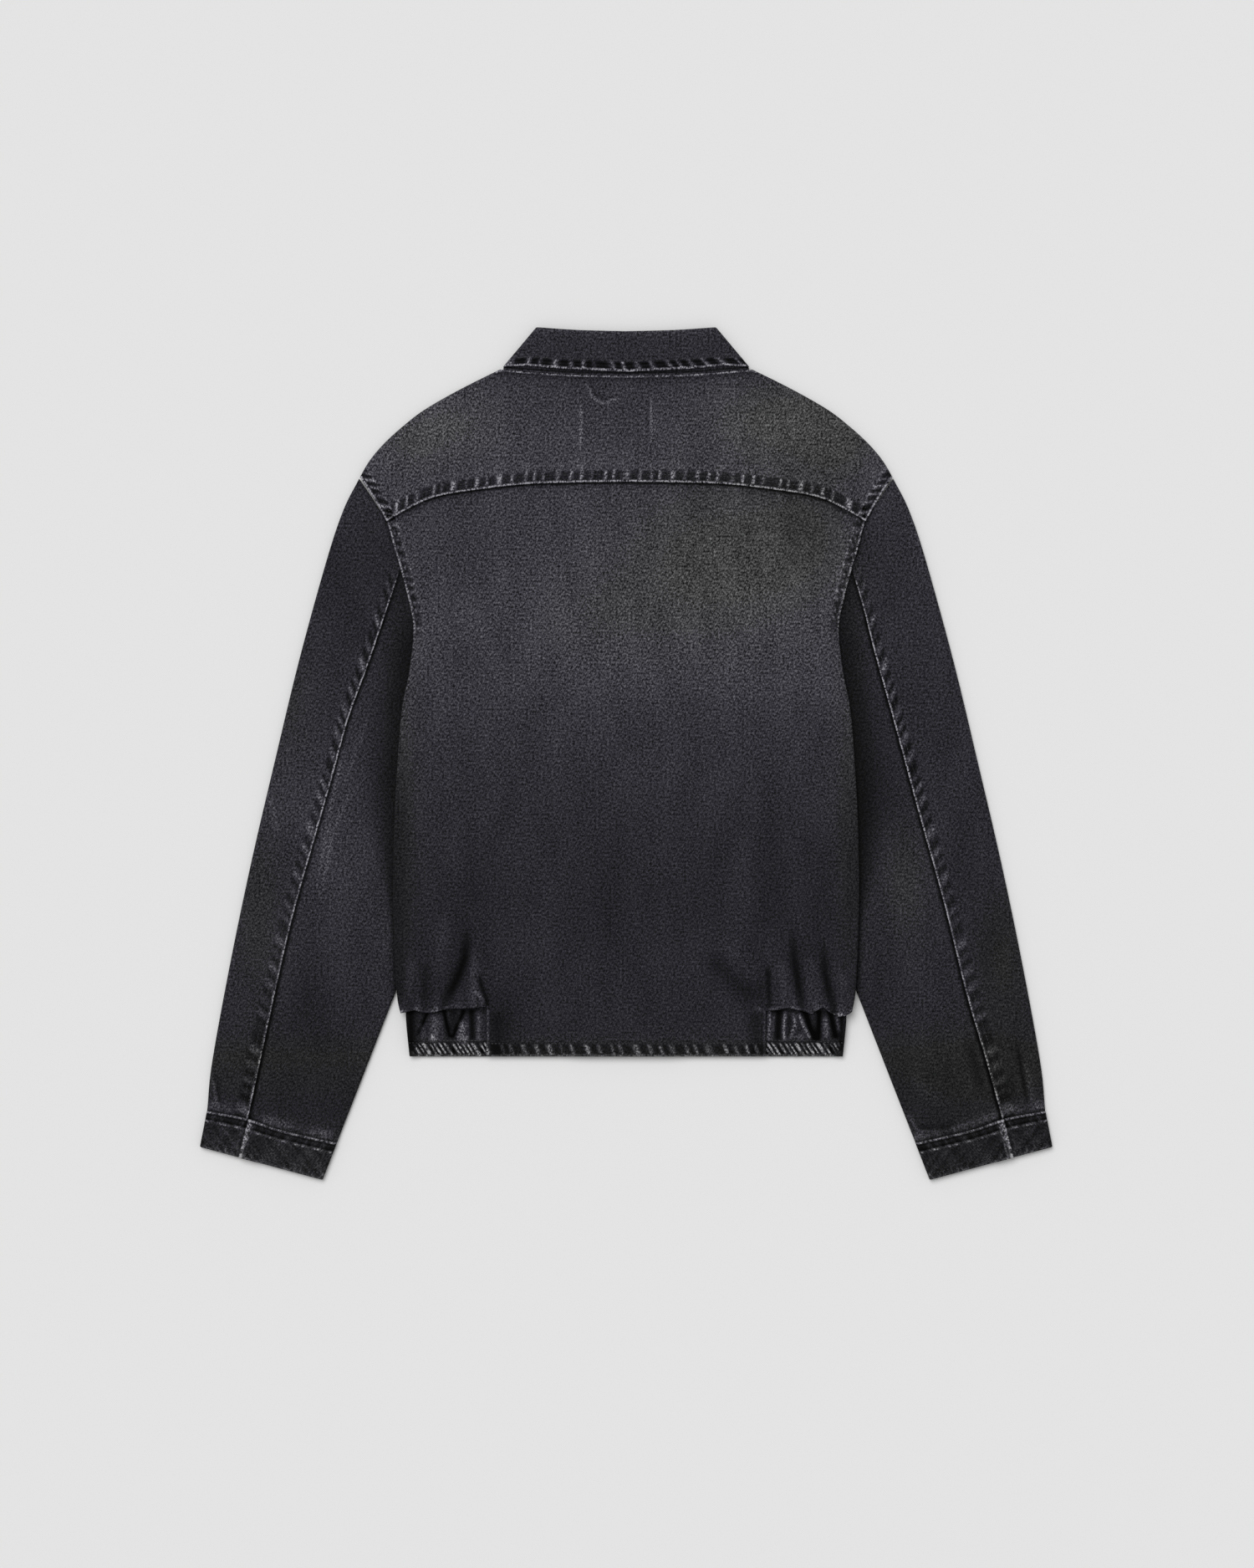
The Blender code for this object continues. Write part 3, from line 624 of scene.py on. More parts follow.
def linear(code: str) -> tuple[float, float, float, float]:
    """A linear colour from an sRGB hex code: the usual power of 2.4 above the dark end.

    Args:
        code: The colour, such as "#1B1A1E".

    Returns:
        Red, green, blue and 1.
    """
    levels = [int(code[i : i + 2], 16) / 255 for i in (1, 3, 5)]
    red, green, blue = (v / 12.92 if v <= 0.04045 else ((v + 0.055) / 1.055) ** 2.4 for v in levels)
    return red, green, blue, 1.0


def node(tree: NodeTree, kind: str, settings: dict, links: dict) -> Node:
    """Adds a node with its settings and links.

    Args:
        tree: The material's node tree.
        kind: The node's type.
        settings: Values by property or input name; an input may be given by its number.
        links: Outputs by the name or number of the input that each goes to.

    Returns:
        The node.
    """
    made = tree.nodes.new(kind)
    for name, value in settings.items():
        if isinstance(name, str) and hasattr(made, name):
            setattr(made, name, value)
        else:
            made.inputs[name].default_value = value
    for name, output in links.items():
        tree.links.new(output, made.inputs[name])
    return made


def new_finish(name: str, values: dict) -> tuple[Material, NodeTree, Node]:
    """Starts a material, with what is the same all over its surface set on the shader's own sockets.

    Args:
        name: The material's name.
        values: Values by socket name.

    Returns:
        The material, its node tree and its shader.
    """
    made = bpy.data.materials.new(name)
    made.use_nodes = True
    shader = made.node_tree.nodes["Principled BSDF"]
    for socket, value in values.items():
        shader.inputs[socket].default_value = value
    return made, made.node_tree, shader


@dataclass(frozen=True)
class Pattern:
    """A soft noise in the cloth: its size in mm, its detail and how strongly it counts.

    stretch is its scale along the warp as a part of that across, so a small one draws it out.
    """

    size: float
    detail: float
    roughness: float
    weight: float
    stretch: float = 1.0


@dataclass(frozen=True)
class WashedDenim:
    """Cotton twill, dyed black, stone-washed and dried: matt, and lighter where the wash rubbed it.

    The dyed warp lies over an undyed weft, so worn cloth shows pale specks between dark ribs. Its
    threads are 0.9 mm apart, too fine to show at this distance, so the twill is drawn at 1.9 mm and
    its specks at 2 mm. The dye is bluish, and where the wash has bared the cotton it is neutral;
    dyed and bared are what each adds to a grey level's red, green and blue.
    """

    dyed: tuple[float, float, float] = (-0.6, -1.9, 6.4)
    bared: tuple[float, float, float] = (0.3, 0.2, -0.4)
    rib: float = 1.9
    rib_turn: float = 27.0
    rib_weight: float = 0.25
    specks: Pattern = Pattern(size=2.0, detail=2.0, roughness=0.6, weight=3.35)
    slubs: Pattern = Pattern(size=1.6, detail=2.0, roughness=0.5, weight=0.12, stretch=0.045)
    clouds: Pattern = Pattern(size=28.0, detail=3.0, roughness=0.6, weight=0.5, stretch=0.38)
    blotches: Pattern = Pattern(size=9.0, detail=2.0, roughness=0.6, weight=0.6)
    contrast: tuple[float, float] = (0.95, 0.78)
    levels: int = 8

    def material(self, name: str) -> Material:
        """The finish as nodes, read from the piece's own grain map and its two attributes.

        Args:
            name: The material's name.

        Returns:
            The material.
        """
        matt = {"Roughness": 0.95, "Specular IOR Level": 0.05, "Sheen Weight": 0.015, "Sheen Roughness": 0.6}
        made, tree, shader = new_finish(name, matt)
        grain = node(tree, "ShaderNodeUVMap", {"uv_map": "grain"}, {}).outputs["UV"]
        shade, bare = (
            node(tree, "ShaderNodeAttribute", {"attribute_name": kind}, {}).outputs["Fac"]
            for kind in ("shade", "bare")
        )
        turn = {"Rotation": (0.0, 0.0, math.radians(self.rib_turn))}
        slanted = node(tree, "ShaderNodeMapping", turn, {"Vector": grain}).outputs[0]
        # A wave's bands are 2 pi / 20 / scale apart.
        wave = {"Scale": 0.314 / (self.rib * MM), "Distortion": 2.2, "Detail": 1.0, "Detail Scale": 1.4}
        twill = node(tree, "ShaderNodeTexWave", wave, {"Vector": slanted}).outputs["Fac"]
        patterns = [(twill, self.rib_weight)]
        for pattern in (self.specks, self.slubs, self.clouds, self.blotches):
            place = grain
            if pattern.stretch != 1.0:
                drawn = {"Scale": (1.0, pattern.stretch, 1.0)}
                place = node(tree, "ShaderNodeMapping", drawn, {"Vector": grain}).outputs[0]
            soft = {"Scale": 1 / (pattern.size * MM), "Detail": pattern.detail}
            soft["Roughness"] = pattern.roughness
            noise = node(tree, "ShaderNodeTexNoise", soft, {"Vector": place}).outputs["Fac"]
            if pattern is self.blotches:
                # They count in full where the wash has bared the cotton, and are level at 0.5 elsewhere.
                level = {"data_type": "FLOAT", 2: 0.5}
                noise = node(tree, "ShaderNodeMix", level, {0: bare, 3: noise}).outputs[0]
            patterns.append((noise, pattern.weight))
        # Each pattern is centred on 0 and weighted; the sum scales the shade that the wash left.
        total = None
        for output, weight in patterns:
            settings = {"operation": "MULTIPLY_ADD", 1: weight, 2: -weight / 2}
            part = node(tree, "ShaderNodeMath", settings, {0: output}).outputs[0]
            if total is None:
                total = part
            else:
                total = node(tree, "ShaderNodeMath", {"operation": "ADD"}, {0: total, 1: part}).outputs[0]
        # The lighter the cloth, the more its bared weft stands out from the dyed warp.
        contrast = {"operation": "MULTIPLY_ADD", 1: self.contrast[0], 2: self.contrast[1]}
        amount = node(tree, "ShaderNodeMath", contrast, {0: shade}).outputs[0]
        lively = {0: total, 1: amount}
        scaled = node(tree, "ShaderNodeMath", {"operation": "MULTIPLY"}, lively).outputs[0]
        factor = node(tree, "ShaderNodeMath", {"operation": "ADD", 1: 1.0}, {0: scaled}).outputs[0]
        grey = node(tree, "ShaderNodeMath", {"operation": "MULTIPLY"}, {0: factor, 1: shade}).outputs[0]
        dyed, bared = (self.ramp(tree, grey, tint) for tint in (self.dyed, self.bared))
        mix = node(tree, "ShaderNodeMix", {"data_type": "RGBA"}, {0: bare, 6: dyed, 7: bared})
        tree.links.new(mix.outputs[2], shader.inputs["Base Color"])
        height = {"Strength": 0.5, "Distance": 0.35 * MM}
        relief = node(tree, "ShaderNodeBump", height, {"Height": total}).outputs["Normal"]
        tree.links.new(relief, shader.inputs["Normal"])
        return made

    def ramp(self, tree: NodeTree, grey: NodeSocket,
             tint: tuple[float, float, float]) -> NodeSocket:
        """Colours for the grey levels from 0 to the last one, each with the tint added.

        Args:
            tree: The material's node tree.
            grey: The grey level, as a part of the last one.
            tint: What is added to red, green and blue.

        Returns:
            The colour's socket.
        """
        stops = node(tree, "ShaderNodeValToRGB", {}, {"Fac": grey})
        while len(stops.color_ramp.elements) < self.levels + 1:
            stops.color_ramp.elements.new(0.5)
        for i, stop in enumerate(stops.color_ramp.elements):
            part = i / self.levels
            red, green, blue = (round(max(part * FULL_GREY + t * min(1.0, 3 * part), 1)) for t in tint)
            stop.position = part
            stop.color = linear(f"#{red:02X}{green:02X}{blue:02X}")
        return stops.outputs["Color"]


@dataclass(frozen=True)
class PatchyFinish:
    """A finish whose colour goes from dark to bright in soft patches, as wear leaves it.

    per_metre is how many patches there are to a metre. The colour is dark where their noise is under
    low, and bright where it is over high.
    """

    dark: str
    bright: str
    low: float
    high: float
    per_metre: float
    detail: float
    grit: float

    def colour(self, tree: NodeTree, shader: Node) -> NodeSocket:
        """Gives the shader the patches' colour, read on Object coordinates.

        Args:
            tree: The material's node tree.
            shader: The material's shader.

        Returns:
            The noise's socket, for a relief that follows the patches.
        """
        place = node(tree, "ShaderNodeTexCoord", {}, {}).outputs["Object"]
        soft = {"Scale": self.per_metre, "Detail": self.detail, "Roughness": self.grit}
        noise = node(tree, "ShaderNodeTexNoise", soft, {"Vector": place}).outputs["Fac"]
        ramp = node(tree, "ShaderNodeValToRGB", {}, {"Fac": noise})
        ends = ((self.low, self.dark), (self.high, self.bright))
        for stop, (level, code) in zip(ramp.color_ramp.elements, ends):
            stop.position = level
            stop.color = linear(code)
        tree.links.new(ramp.outputs["Color"], shader.inputs["Base Color"])
        return noise


@dataclass(frozen=True)
class SewingThread(PatchyFinish):
    """Core-spun polyester thread, black, which the wash fades less than the denim: darker and smoother."""

    dark: str = "#1B1A1E"
    bright: str = "#4A494D"
    low: float = 0.35
    high: float = 0.7
    per_metre: float = 90.0  # 11 mm each
    detail: float = 3.0
    grit: float = 0.5

    def material(self, name: str) -> Material:
        """The thread's colour, uneven along its length as the wash leaves it.

        Args:
            name: The material's name.

        Returns:
            The material.
        """
        made, tree, shader = new_finish(name, {"Roughness": 0.62, "Specular IOR Level": 0.3})
        self.colour(tree, shader)
        return made


@dataclass(frozen=True)
class AgedBrass(PatchyFinish):
    """Pressed brass, blackened in a bath and tumbled: dark in its hollows, bright where it wore."""

    dark: str = "#3A3733"
    bright: str = "#9A9184"
    low: float = 0.38
    high: float = 0.72
    per_metre: float = 260.0  # 4 mm each
    detail: float = 4.0
    grit: float = 0.6

    def material(self, name: str) -> Material:
        """A metal with the bath's black, worn brass and a fine bite in its surface.

        Args:
            name: The material's name.

        Returns:
            The material.
        """
        made, tree, shader = new_finish(name, {"Metallic": 1.0, "Roughness": 0.38})
        noise = self.colour(tree, shader)
        bite = {"Strength": 0.25, "Distance": 0.1 * MM}
        relief = node(tree, "ShaderNodeBump", bite, {"Height": noise}).outputs["Normal"]
        tree.links.new(relief, shader.inputs["Normal"])
        return made


def add(name: str, mesh: Mesh, finish: Material) -> Object:
    """Puts a mesh into the scene as an object at the origin that rides on the jacket.

    Args:
        name: The object's name.
        mesh: Its mesh, in metres.
        finish: Its material.

    Returns:
        The object.
    """
    mesh.materials.append(finish)
    piece = bpy.data.objects.new(name, mesh)
    bpy.context.scene.collection.objects.link(piece)
    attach(piece, "root")
    log.info("%s: %d faces", name, len(mesh.polygons))
    return piece


@dataclass
class Stitches:
    """Rows of stitches, gathered while the pieces are made and joined into one mesh for each piece."""

    finish: Material
    pitch: float = 3.3
    length: float = 2.5
    radius: float = 0.33
    rows: dict[str, list[tuple[Array, Array]]] = field(default_factory=dict)

    def sew(self, piece: str, line: Array, normal: Array) -> None:
        """Adds a row along a line on a piece's outer face.

        Args:
            piece: Name of the piece that is sewn.
            line: Points on its outer face, in mm.
            normal: Outward normals at those points.
        """
        self.rows.setdefault(piece, []).append((line, normal))

    def follow(self, sheet: Sheet, row: Optional[int] = None, column: Optional[int] = None,
               start: int = 0, end: Optional[int] = None) -> None:
        """Sews along one row or column of a sheet's grid, from start to end."""
        pick = (row, slice(start, end)) if row is not None else (slice(start, end), column)
        self.sew(sheet.name, sheet.outer(0.02)[pick], sheet.normal[pick])

    def build(self) -> dict[str, Object]:
        """Makes each piece's stitches: short spindles of four sides, evenly spaced along the rows.

        Returns:
            The stitches' objects by the name of the piece that they are on.
        """
        made = {}
        for piece, rows in self.rows.items():
            centres, ways, ups = [], [], []
            for line, normal in rows:
                length = np.append(0.0, np.cumsum(np.linalg.norm(np.diff(line, axis=0), axis=1)))
                at = np.arange(self.pitch / 2, length[-1], self.pitch)
                centre, ahead, behind, up = (
                    np.stack([np.interp(at + on, length, values[:, i]) for i in range(3)], axis=1)
                    for values, on in ((line, 0), (line, 1), (line, -1), (normal, 0))
                )
                way = ahead - behind
                centres.append(centre)
                ways.append(way / np.linalg.norm(way, axis=1, keepdims=True))
                ups.append(up / np.linalg.norm(up, axis=1, keepdims=True))
            made[piece] = self.spindles(piece, *(np.concatenate(a) for a in (centres, ways, ups)))
        return made

    def spindles(self, piece: str, centre: Array, way: Array, up: Array) -> Object:
        """One mesh of spindles: three rings of four points and a point at each end, lying down.

        Args:
            piece: Name of the piece that they are on.
            centre: Each stitch's middle.
            way: Its direction.
            up: The cloth's normal there.

        Returns:
            The object.
        """
        side = np.cross(up, way)
        along = np.array([-0.36, 0.0, 0.36]) * self.length
        wide = np.array([0.8, 1.0, 0.8]) * self.radius
        angle = np.arange(4) * np.pi / 2 + np.pi / 4
        rings = (
            centre[:, None, None]
            + way[:, None, None] * along[None, :, None, None]
            + side[:, None, None] * (wide[:, None] * np.cos(angle))[None, :, :, None]
            + up[:, None, None] * (wide[:, None] * np.sin(angle) * 0.8)[None, :, :, None]
        ).reshape(len(centre), 12, 3)
        tips = centre[:, None] + way[:, None] * (np.array([-0.5, 0.5]) * self.length)[None, :, None]
        tips = tips - up[:, None] * 0.25
        points = np.concatenate([rings, tips], axis=1)
        ring = np.arange(4)
        after = (ring + 1) % 4
        quads = np.concatenate(
            [np.stack([k + ring, k + after, k + 4 + after, k + 4 + ring], axis=1) for k in (0, 4)]
        )
        ends = ((after, ring, np.full(4, 12)), (8 + ring, 8 + after, np.full(4, 13)))
        caps = np.concatenate([np.stack(end, axis=1) for end in ends])
        base = np.arange(len(centre))[:, None, None] * 14
        quads = (base + quads[None]).reshape(-1, 4).tolist()
        caps = (base + caps[None]).reshape(-1, 3).tolist()
        mesh = bpy.data.meshes.new(f"stitches_{piece}")
        mesh.from_pydata((points.reshape(-1, 3) * MM).tolist(), [], quads + caps)
        mesh.polygons.foreach_set("use_smooth", np.ones(len(mesh.polygons), bool))
        return add(f"stitches_{piece}", mesh, self.finish)


def fold_drop(off: Array, radius: Array) -> Array:
    """How far a folded edge has come down at a distance from its outline: a quarter circle's height.

    Args:
        off: Distances from the outline.
        radius: The fold's radius, a number or one for each point.

    Returns:
        The drop in mm, 0 from the radius inwards.
    """
    radius = np.asarray(radius, float)
    inside = np.clip(radius - off, 0.0, radius)
    return radius - np.sqrt(np.maximum(radius**2 - inside**2, 0.0))


def body_edge(y: Array) -> Array:
    """The x of the body's edge, from the armhole to the gathered bands."""
    return across_at(ARMHOLE[:-1] + BODY_SIDE, y)


def stacked(*coordinates: Array) -> Array:
    """Points from their coordinates, which may be of shapes that fit together."""
    return np.stack(np.broadcast_arrays(*coordinates), axis=-1)


@dataclass
class Piece:
    """What each cut piece is made with: how the layers lie, its wash, its marks and its stitches."""

    lay: Lay
    wash: Wash
    marks: Sequence[Mark]
    stitches: Stitches

    def cloth(self, x: Array, y: Array, creased: bool = True) -> tuple[Array, Array]:
        """The relief in mm and the grey levels: its marks', summed, and its wash.

        The marks give painted shade to creases and painted light to ridges, besides worn lines.

        Args:
            x: The points' x.
            y: Their y.
            creased: Whether the marks count.

        Returns:
            The relief and the grey levels at each point.
        """
        rise, shade = np.zeros(np.shape(x)), np.zeros(np.shape(x))
        for mark in self.marks if creased else ():
            profile = mark.profile(x, y)
            rise += mark.rise * profile
            shade += mark.shade * profile
        return rise, shade + self.wash.tone(x, y)


@dataclass
class BackPanel(Piece):
    """The back below the yoke. Its middle runs down to the hem, between the two gathered bands."""

    step: float = 1.8
    row_step: float = 3.7
    width: float = 217.0
    yoke_lap: float = 8.0
    blouse_y: float = -240.0
    hem_y: float = -283.0
    tab_x: float = 130.6
    yoke_pucker: Line = Line(3.0, 7.0, 0.22)
    yoke_ripple: Line = Line(4.0, 6.0, 5.0)
    yoke_edge_shadow: Line = Line(0.6, 1.8, -42.0)
    yoke_shadow: Line = Line(0.0, 9.0, -7.0)
    side_shadow: Line = Line(0.0, 14.0, -13.0)
    tab_worn: Line = Line(1.2, 1.0, 40.0)
    tab_shadow: Line = Line(9.0, 8.0, -12.0)
    blouse_turn: Line = Line(0.0, 3.5, -0.9)
    blouse_rim_highlight_and_wear: Line = Line(1.4, 1.7, 50.0)
    blouse_roll_highlight: Line = Line(7.0, 6.0, 9.0)
    hem: Seam = Seam(
        seed=5.0, pitch=11.6, width=10.0, pad=0.5, pucker=0.6, worn=50.0, ticks=76.0, dark=16.0,
        rows=(11.6,), slant=0.35, beyond=1.5, sharp=0.15,
    )
    armhole: Seam = Seam(
        seed=2.0, pitch=8.2, width=7.6, pucker=0.4, worn=76.0, ticks=54.0, dark=38.0, rows=(2.3,),
        slant=0.2, beyond=2.2, sharp=0.2, ridge=46.0,
    )
    blouse_edge: Rows = (
        (-215, -3), (-206, -1.5), (-198, 0.5), (-190, -2), (-182, -2.2), (-175, -0.5), (-166, 1.6),
        (-150, 1.8), (-140, 2.6), (-131, 3.6), (131, -0.5), (142, 0.4), (151, 2.4), (158, 0.8),
        (167, -1.2), (174, -3.2), (179, 0.5), (184, 3.2), (190, -1.5), (199, -6), (205, -4.8),
        (212, -0.5),
    )

    def plan(self) -> tuple[Array, Array, Array]:
        """The grid's x and y, and each point's distance in from the side edge.

        Returns:
            Those three, on the right half.
        """
        half = self.tab_x / BODY_SIDE[-1][0]
        width = self.width
        fixed = stations(width, np.zeros(1), SEAM_LINES, self.step)[0]
        beside = half * width + np.concatenate([-SEAM_LINES[:0:-2] * 0.5, SEAM_LINES[::2] * 0.5])
        clear = np.abs(fixed[:, None] - beside[None]).min(axis=1) > 0.9
        count = len(SEAM_LINES)
        clear[-count:] = True
        clear[0] = True
        far = np.sort(np.concatenate([fixed[clear], beside]))
        off = width - far[None]
        parts = far / (width - SEAM_LINES[-1])
        top = seam_at(YOKE_SEAM, np.minimum(far, YOKE_SEAM[-1][0])) + self.yoke_lap
        lines = self.yoke_lap + np.array([-8.0, -3.5, -0.6, 0.0, 0.6, 1.3, 2.2, 3.4, 5.0, 7.5])
        down = stations(top - self.blouse_y, lines, FOLD_LINES, self.row_step).T
        y = top[None] - down
        edge = body_edge(y)
        near = np.broadcast_to(off < SEAM_LINES[-1] + 1e-6, y.shape)
        x = np.where(near, edge - off, parts[None] * (edge - SEAM_LINES[-1]))
        tab = stations(self.blouse_y - self.hem_y, np.zeros(1), HEM_LINES, 3.0)[0, 1:]
        x = np.concatenate([x, np.repeat(x[-1:], len(tab), axis=0)])
        y = np.concatenate([y, np.repeat((self.blouse_y - tab)[:, None], y.shape[1], axis=1)])
        off = np.maximum(np.concatenate([edge, np.full((len(tab), edge.shape[1]), FAR)]) - x, 0.0)
        self.body_rows = len(down)
        self.tab_column = int(np.argmin(np.abs(far - half * width)))
        return x, y, off

    def build(self) -> Sheet:
        """The sheet: flat on the fronts, standing out over the bands, with its creases and seams.

        Returns:
            The sheet, with its stitches sewn.
        """
        x, y, off = whole(self.plan())
        beside = smooth((np.abs(x) - self.tab_x + 13.0) / 13.0)
        above = smooth((y + 262.0) / 22.0)
        level = self.lay.back(x, y) + beside * above * 2.0 * smooth((-150.0 - y) / 62.0)
        radius = (self.lay.back(x, y) - self.lay.front(x, y, 0)) / 2
        folded = smooth((185.0 - y) / 25.0) * (y > self.blouse_y - 0.1)
        rise, shade = self.cloth(x, y)
        # Puckers that the seams leave: under the yoke, at the armholes and along the hem.
        # Under the yoke's raised edge lie a painted shadow line and a wider, softer painted shade.
        below = seam_at(YOKE_SEAM, x) - y
        wave = uneven(x, 12.0, 4.0)
        rise += wave * self.yoke_pucker.beside(below)
        shade += wave * self.yoke_ripple.beside(below) + self.yoke_edge_shadow.beside(below) * (below > -3.0)
        shade += self.yoke_shadow.beside(below)
        # The right side is in less shadow than the left one.
        low_side = 1.0 - 0.55 * (x > 0)
        shade += low_side * self.side_shadow.beside(off) * smooth((40.0 - y) / 130.0)
        sewn = smooth((y - 100.0) / 34.0)
        run = y + 3.0 * np.sign(x)
        rise += sewn * self.armhole.relief(off, run)
        shade += sewn * self.armhole.shade(off, run)
        up = y - self.hem_y
        on_tab = 1.0 - smooth((np.abs(x) - self.tab_x + 1.0) / 2.0)
        rise += on_tab * self.hem.relief(up, x)
        shade += on_tab * self.hem.shade(up, x)
        # The turned edges of the part between the bands: worn, less on the right, with a shadow inside.
        in_tab, under = self.tab_x - np.abs(x), self.blouse_y + 2.0 - y
        turned = self.tab_worn.beside(in_tab) * (1.0 - 0.45 * (x > 0)) * smooth(under / 3.0)
        shade += turned * (0.8 + 0.3 * uneven(y, 9.0, 1.0))
        shade += self.tab_shadow.beside(in_tab) * smooth(under / 9.0)
        # The cloth over the bands is gathered by the elastic, and turns in at its lower edge.
        # The gathers' tops are given painted light and the hollows between them painted shade.
        near = beside * smooth((-196.0 - y) / 40.0) * (y > self.blouse_y - 1.0)
        gather = uneven(x, 15.0, 7.0 + (x > 0))
        over_fold = y - self.blouse_y
        rise += 0.75 * gather * near + beside * self.blouse_turn.beside(over_fold)
        shade += near * (5.0 * gather - 2.0)
        # The curled lower edge is worn pale and given a painted highlight, and the blousing just above it a
        # softer painted highlight.
        worn = np.clip(0.5 + 0.7 * uneven(x, 19.0, 2.0 + (x > 0)), 0.0, 1.2)
        spans, lifts = np.array(self.blouse_edge).T
        lift = np.interp(x, spans, lifts)
        worn = worn * np.clip(0.85 - 0.2 * lift, 0.1, 1.7) * beside * (y > self.blouse_y - 1.0)
        shade += worn * (self.blouse_rim_highlight_and_wear.beside(over_fold) + self.blouse_roll_highlight.beside(over_fold))
        y = y + beside * lift * smooth((-205.0 - y) / 35.0) * (y > -241.0)
        room = np.maximum(level + rise, self.lay.front(x, y, 0) + 2.2)
        z = room - fold_drop(off, radius) * folded
        kept = np.ones((x.shape[0] - 1, x.shape[1] - 1), bool)
        middle = (x.shape[1] - 1) // 2
        kept[self.body_rows - 1 :, : middle - self.tab_column] = False
        kept[self.body_rows - 1 :, middle + self.tab_column :] = False
        sheet = Sheet("back_panel", stacked(x, y, z), shade, kept=kept)
        last = x.shape[0] - 1
        span = slice(middle - self.tab_column + 1, middle + self.tab_column)
        self.stitches.follow(sheet, row=last - HEM_ROW, start=span.start, end=span.stop)
        low = int(np.argmin(np.abs(y[: self.body_rows, middle] - 95.0)))
        for row in (EDGE_ROW, FIRST_ROW):
            for column in (row, x.shape[1] - 1 - row):
                self.stitches.follow(sheet, column=column, start=4, end=low)
        return sheet


@dataclass
class Yoke(Piece):
    """The back yoke: from the neck and shoulders to its seam, lying on the back panel's top edge."""

    step: float = 1.35
    row_step: float = 2.4
    width: float = 262.0
    neck_part: float = 0.42
    worn_neck: Line = Line(0.6, 0.8, 78.0)
    neck_groove: Line = Line(2.6, 1.2, -20.0)
    neck_shadow: Line = Line(0.0, 9.0, -6.0)
    smears: Line = Line(15.0, 6.0, 9.0)
    seam: Seam = Seam(
        seed=1.0, pitch=10.8, width=8.8, pad=0.5, pucker=0.6, worn=118.0, ticks=76.0, dark=30.0,
        rows=(2.2,), slant=-0.15, beyond=3.4, sharp=0.14, rim=0.7,
    )
    armhole: Seam = Seam(
        seed=2.0, pitch=8.2, width=8.2, pad=0.5, pucker=0.4, worn=90.0, ticks=58.0, dark=40.0,
        rows=(2.3,), slant=0.2, beyond=2.2, sharp=0.2, ridge=52.0,
    )

    def top(self, parts: Array) -> Array:
        """The top edge, at parts of its length."""
        return top_edge(BACK_NECK, self.neck_part, parts)

    def build(self) -> Sheet:
        """The sheet: a patch between its four edges, raised at its seam and folded at the shoulders.

        Returns:
            The sheet, with its stitches sewn.
        """
        side = ARMHOLE[:3]
        neck_y, seam_y = BACK_NECK[0][1], YOKE_SEAM[0][1]
        across = stations(self.width, np.zeros(1), SEAM_LINES, self.step)[0] / self.width
        depth = np.linalg.norm(self.top(across) - curve(YOKE_SEAM, across), axis=1)
        down = stations(depth, FOLD_LINES, SEAM_LINES, self.row_step).T
        parts = down / depth[None]
        plan = coons(
            self.top,
            lambda u: curve(YOKE_SEAM, u),
            lambda v: np.stack([0.0 * v, neck_y + (seam_y - neck_y) * v], axis=-1),
            lambda v: curve(side, v),
            across[None],
            parts,
        )
        x, y = plan[..., 0], plan[..., 1]
        up = depth[None] - down
        off = (1.0 - across[None]) * self.width * (1.0 - 0.12 * parts)
        shouldered = smooth((across[None] - self.neck_part) / 0.04)
        grids = np.broadcast_arrays(x, y, up, off, down, shouldered)
        x, y, up, off, down, shouldered = whole(grids)
        level = self.lay.back(x, y) + 1.8 * smooth((20.0 - up) / 9.0)
        radius = (level - self.lay.front(x, y, 0)) / 2
        rise, shade = self.cloth(x, y)
        run = y + 3.0 * np.sign(x)
        beside = smooth((up + 4.0) / 6.0)
        rise += self.seam.relief(up, x) + self.armhole.relief(off, run) * beside
        shade += self.seam.shade(up, x) + self.armhole.shade(off, run) * beside
        neck = self.worn_neck.beside(down) * np.clip(0.7 + 0.4 * uneven(x, 21.0, 3.0), 0.1, 1.1)
        neck = neck + self.neck_groove.beside(down) + self.neck_shadow.beside(down)
        shade += neck * (1.0 - shouldered)
        smear = np.clip(uneven(x + 0.2 * up, 23.0, 8.0), 0.0, 1.0)
        shade += smear * self.smears.beside(up)
        z = level + rise - fold_drop(down, radius) * shouldered
        sheet = Sheet("back_yoke", stacked(x, y, z), shade)
        last, wide = x.shape[0] - 1, x.shape[1] - 1
        for row in (EDGE_ROW, FIRST_ROW):
            self.stitches.follow(sheet, row=last - row, start=4, end=wide - 4)
            for column in (row, wide - row):
                self.stitches.follow(sheet, column=column, start=3, end=last - 2)
        return sheet


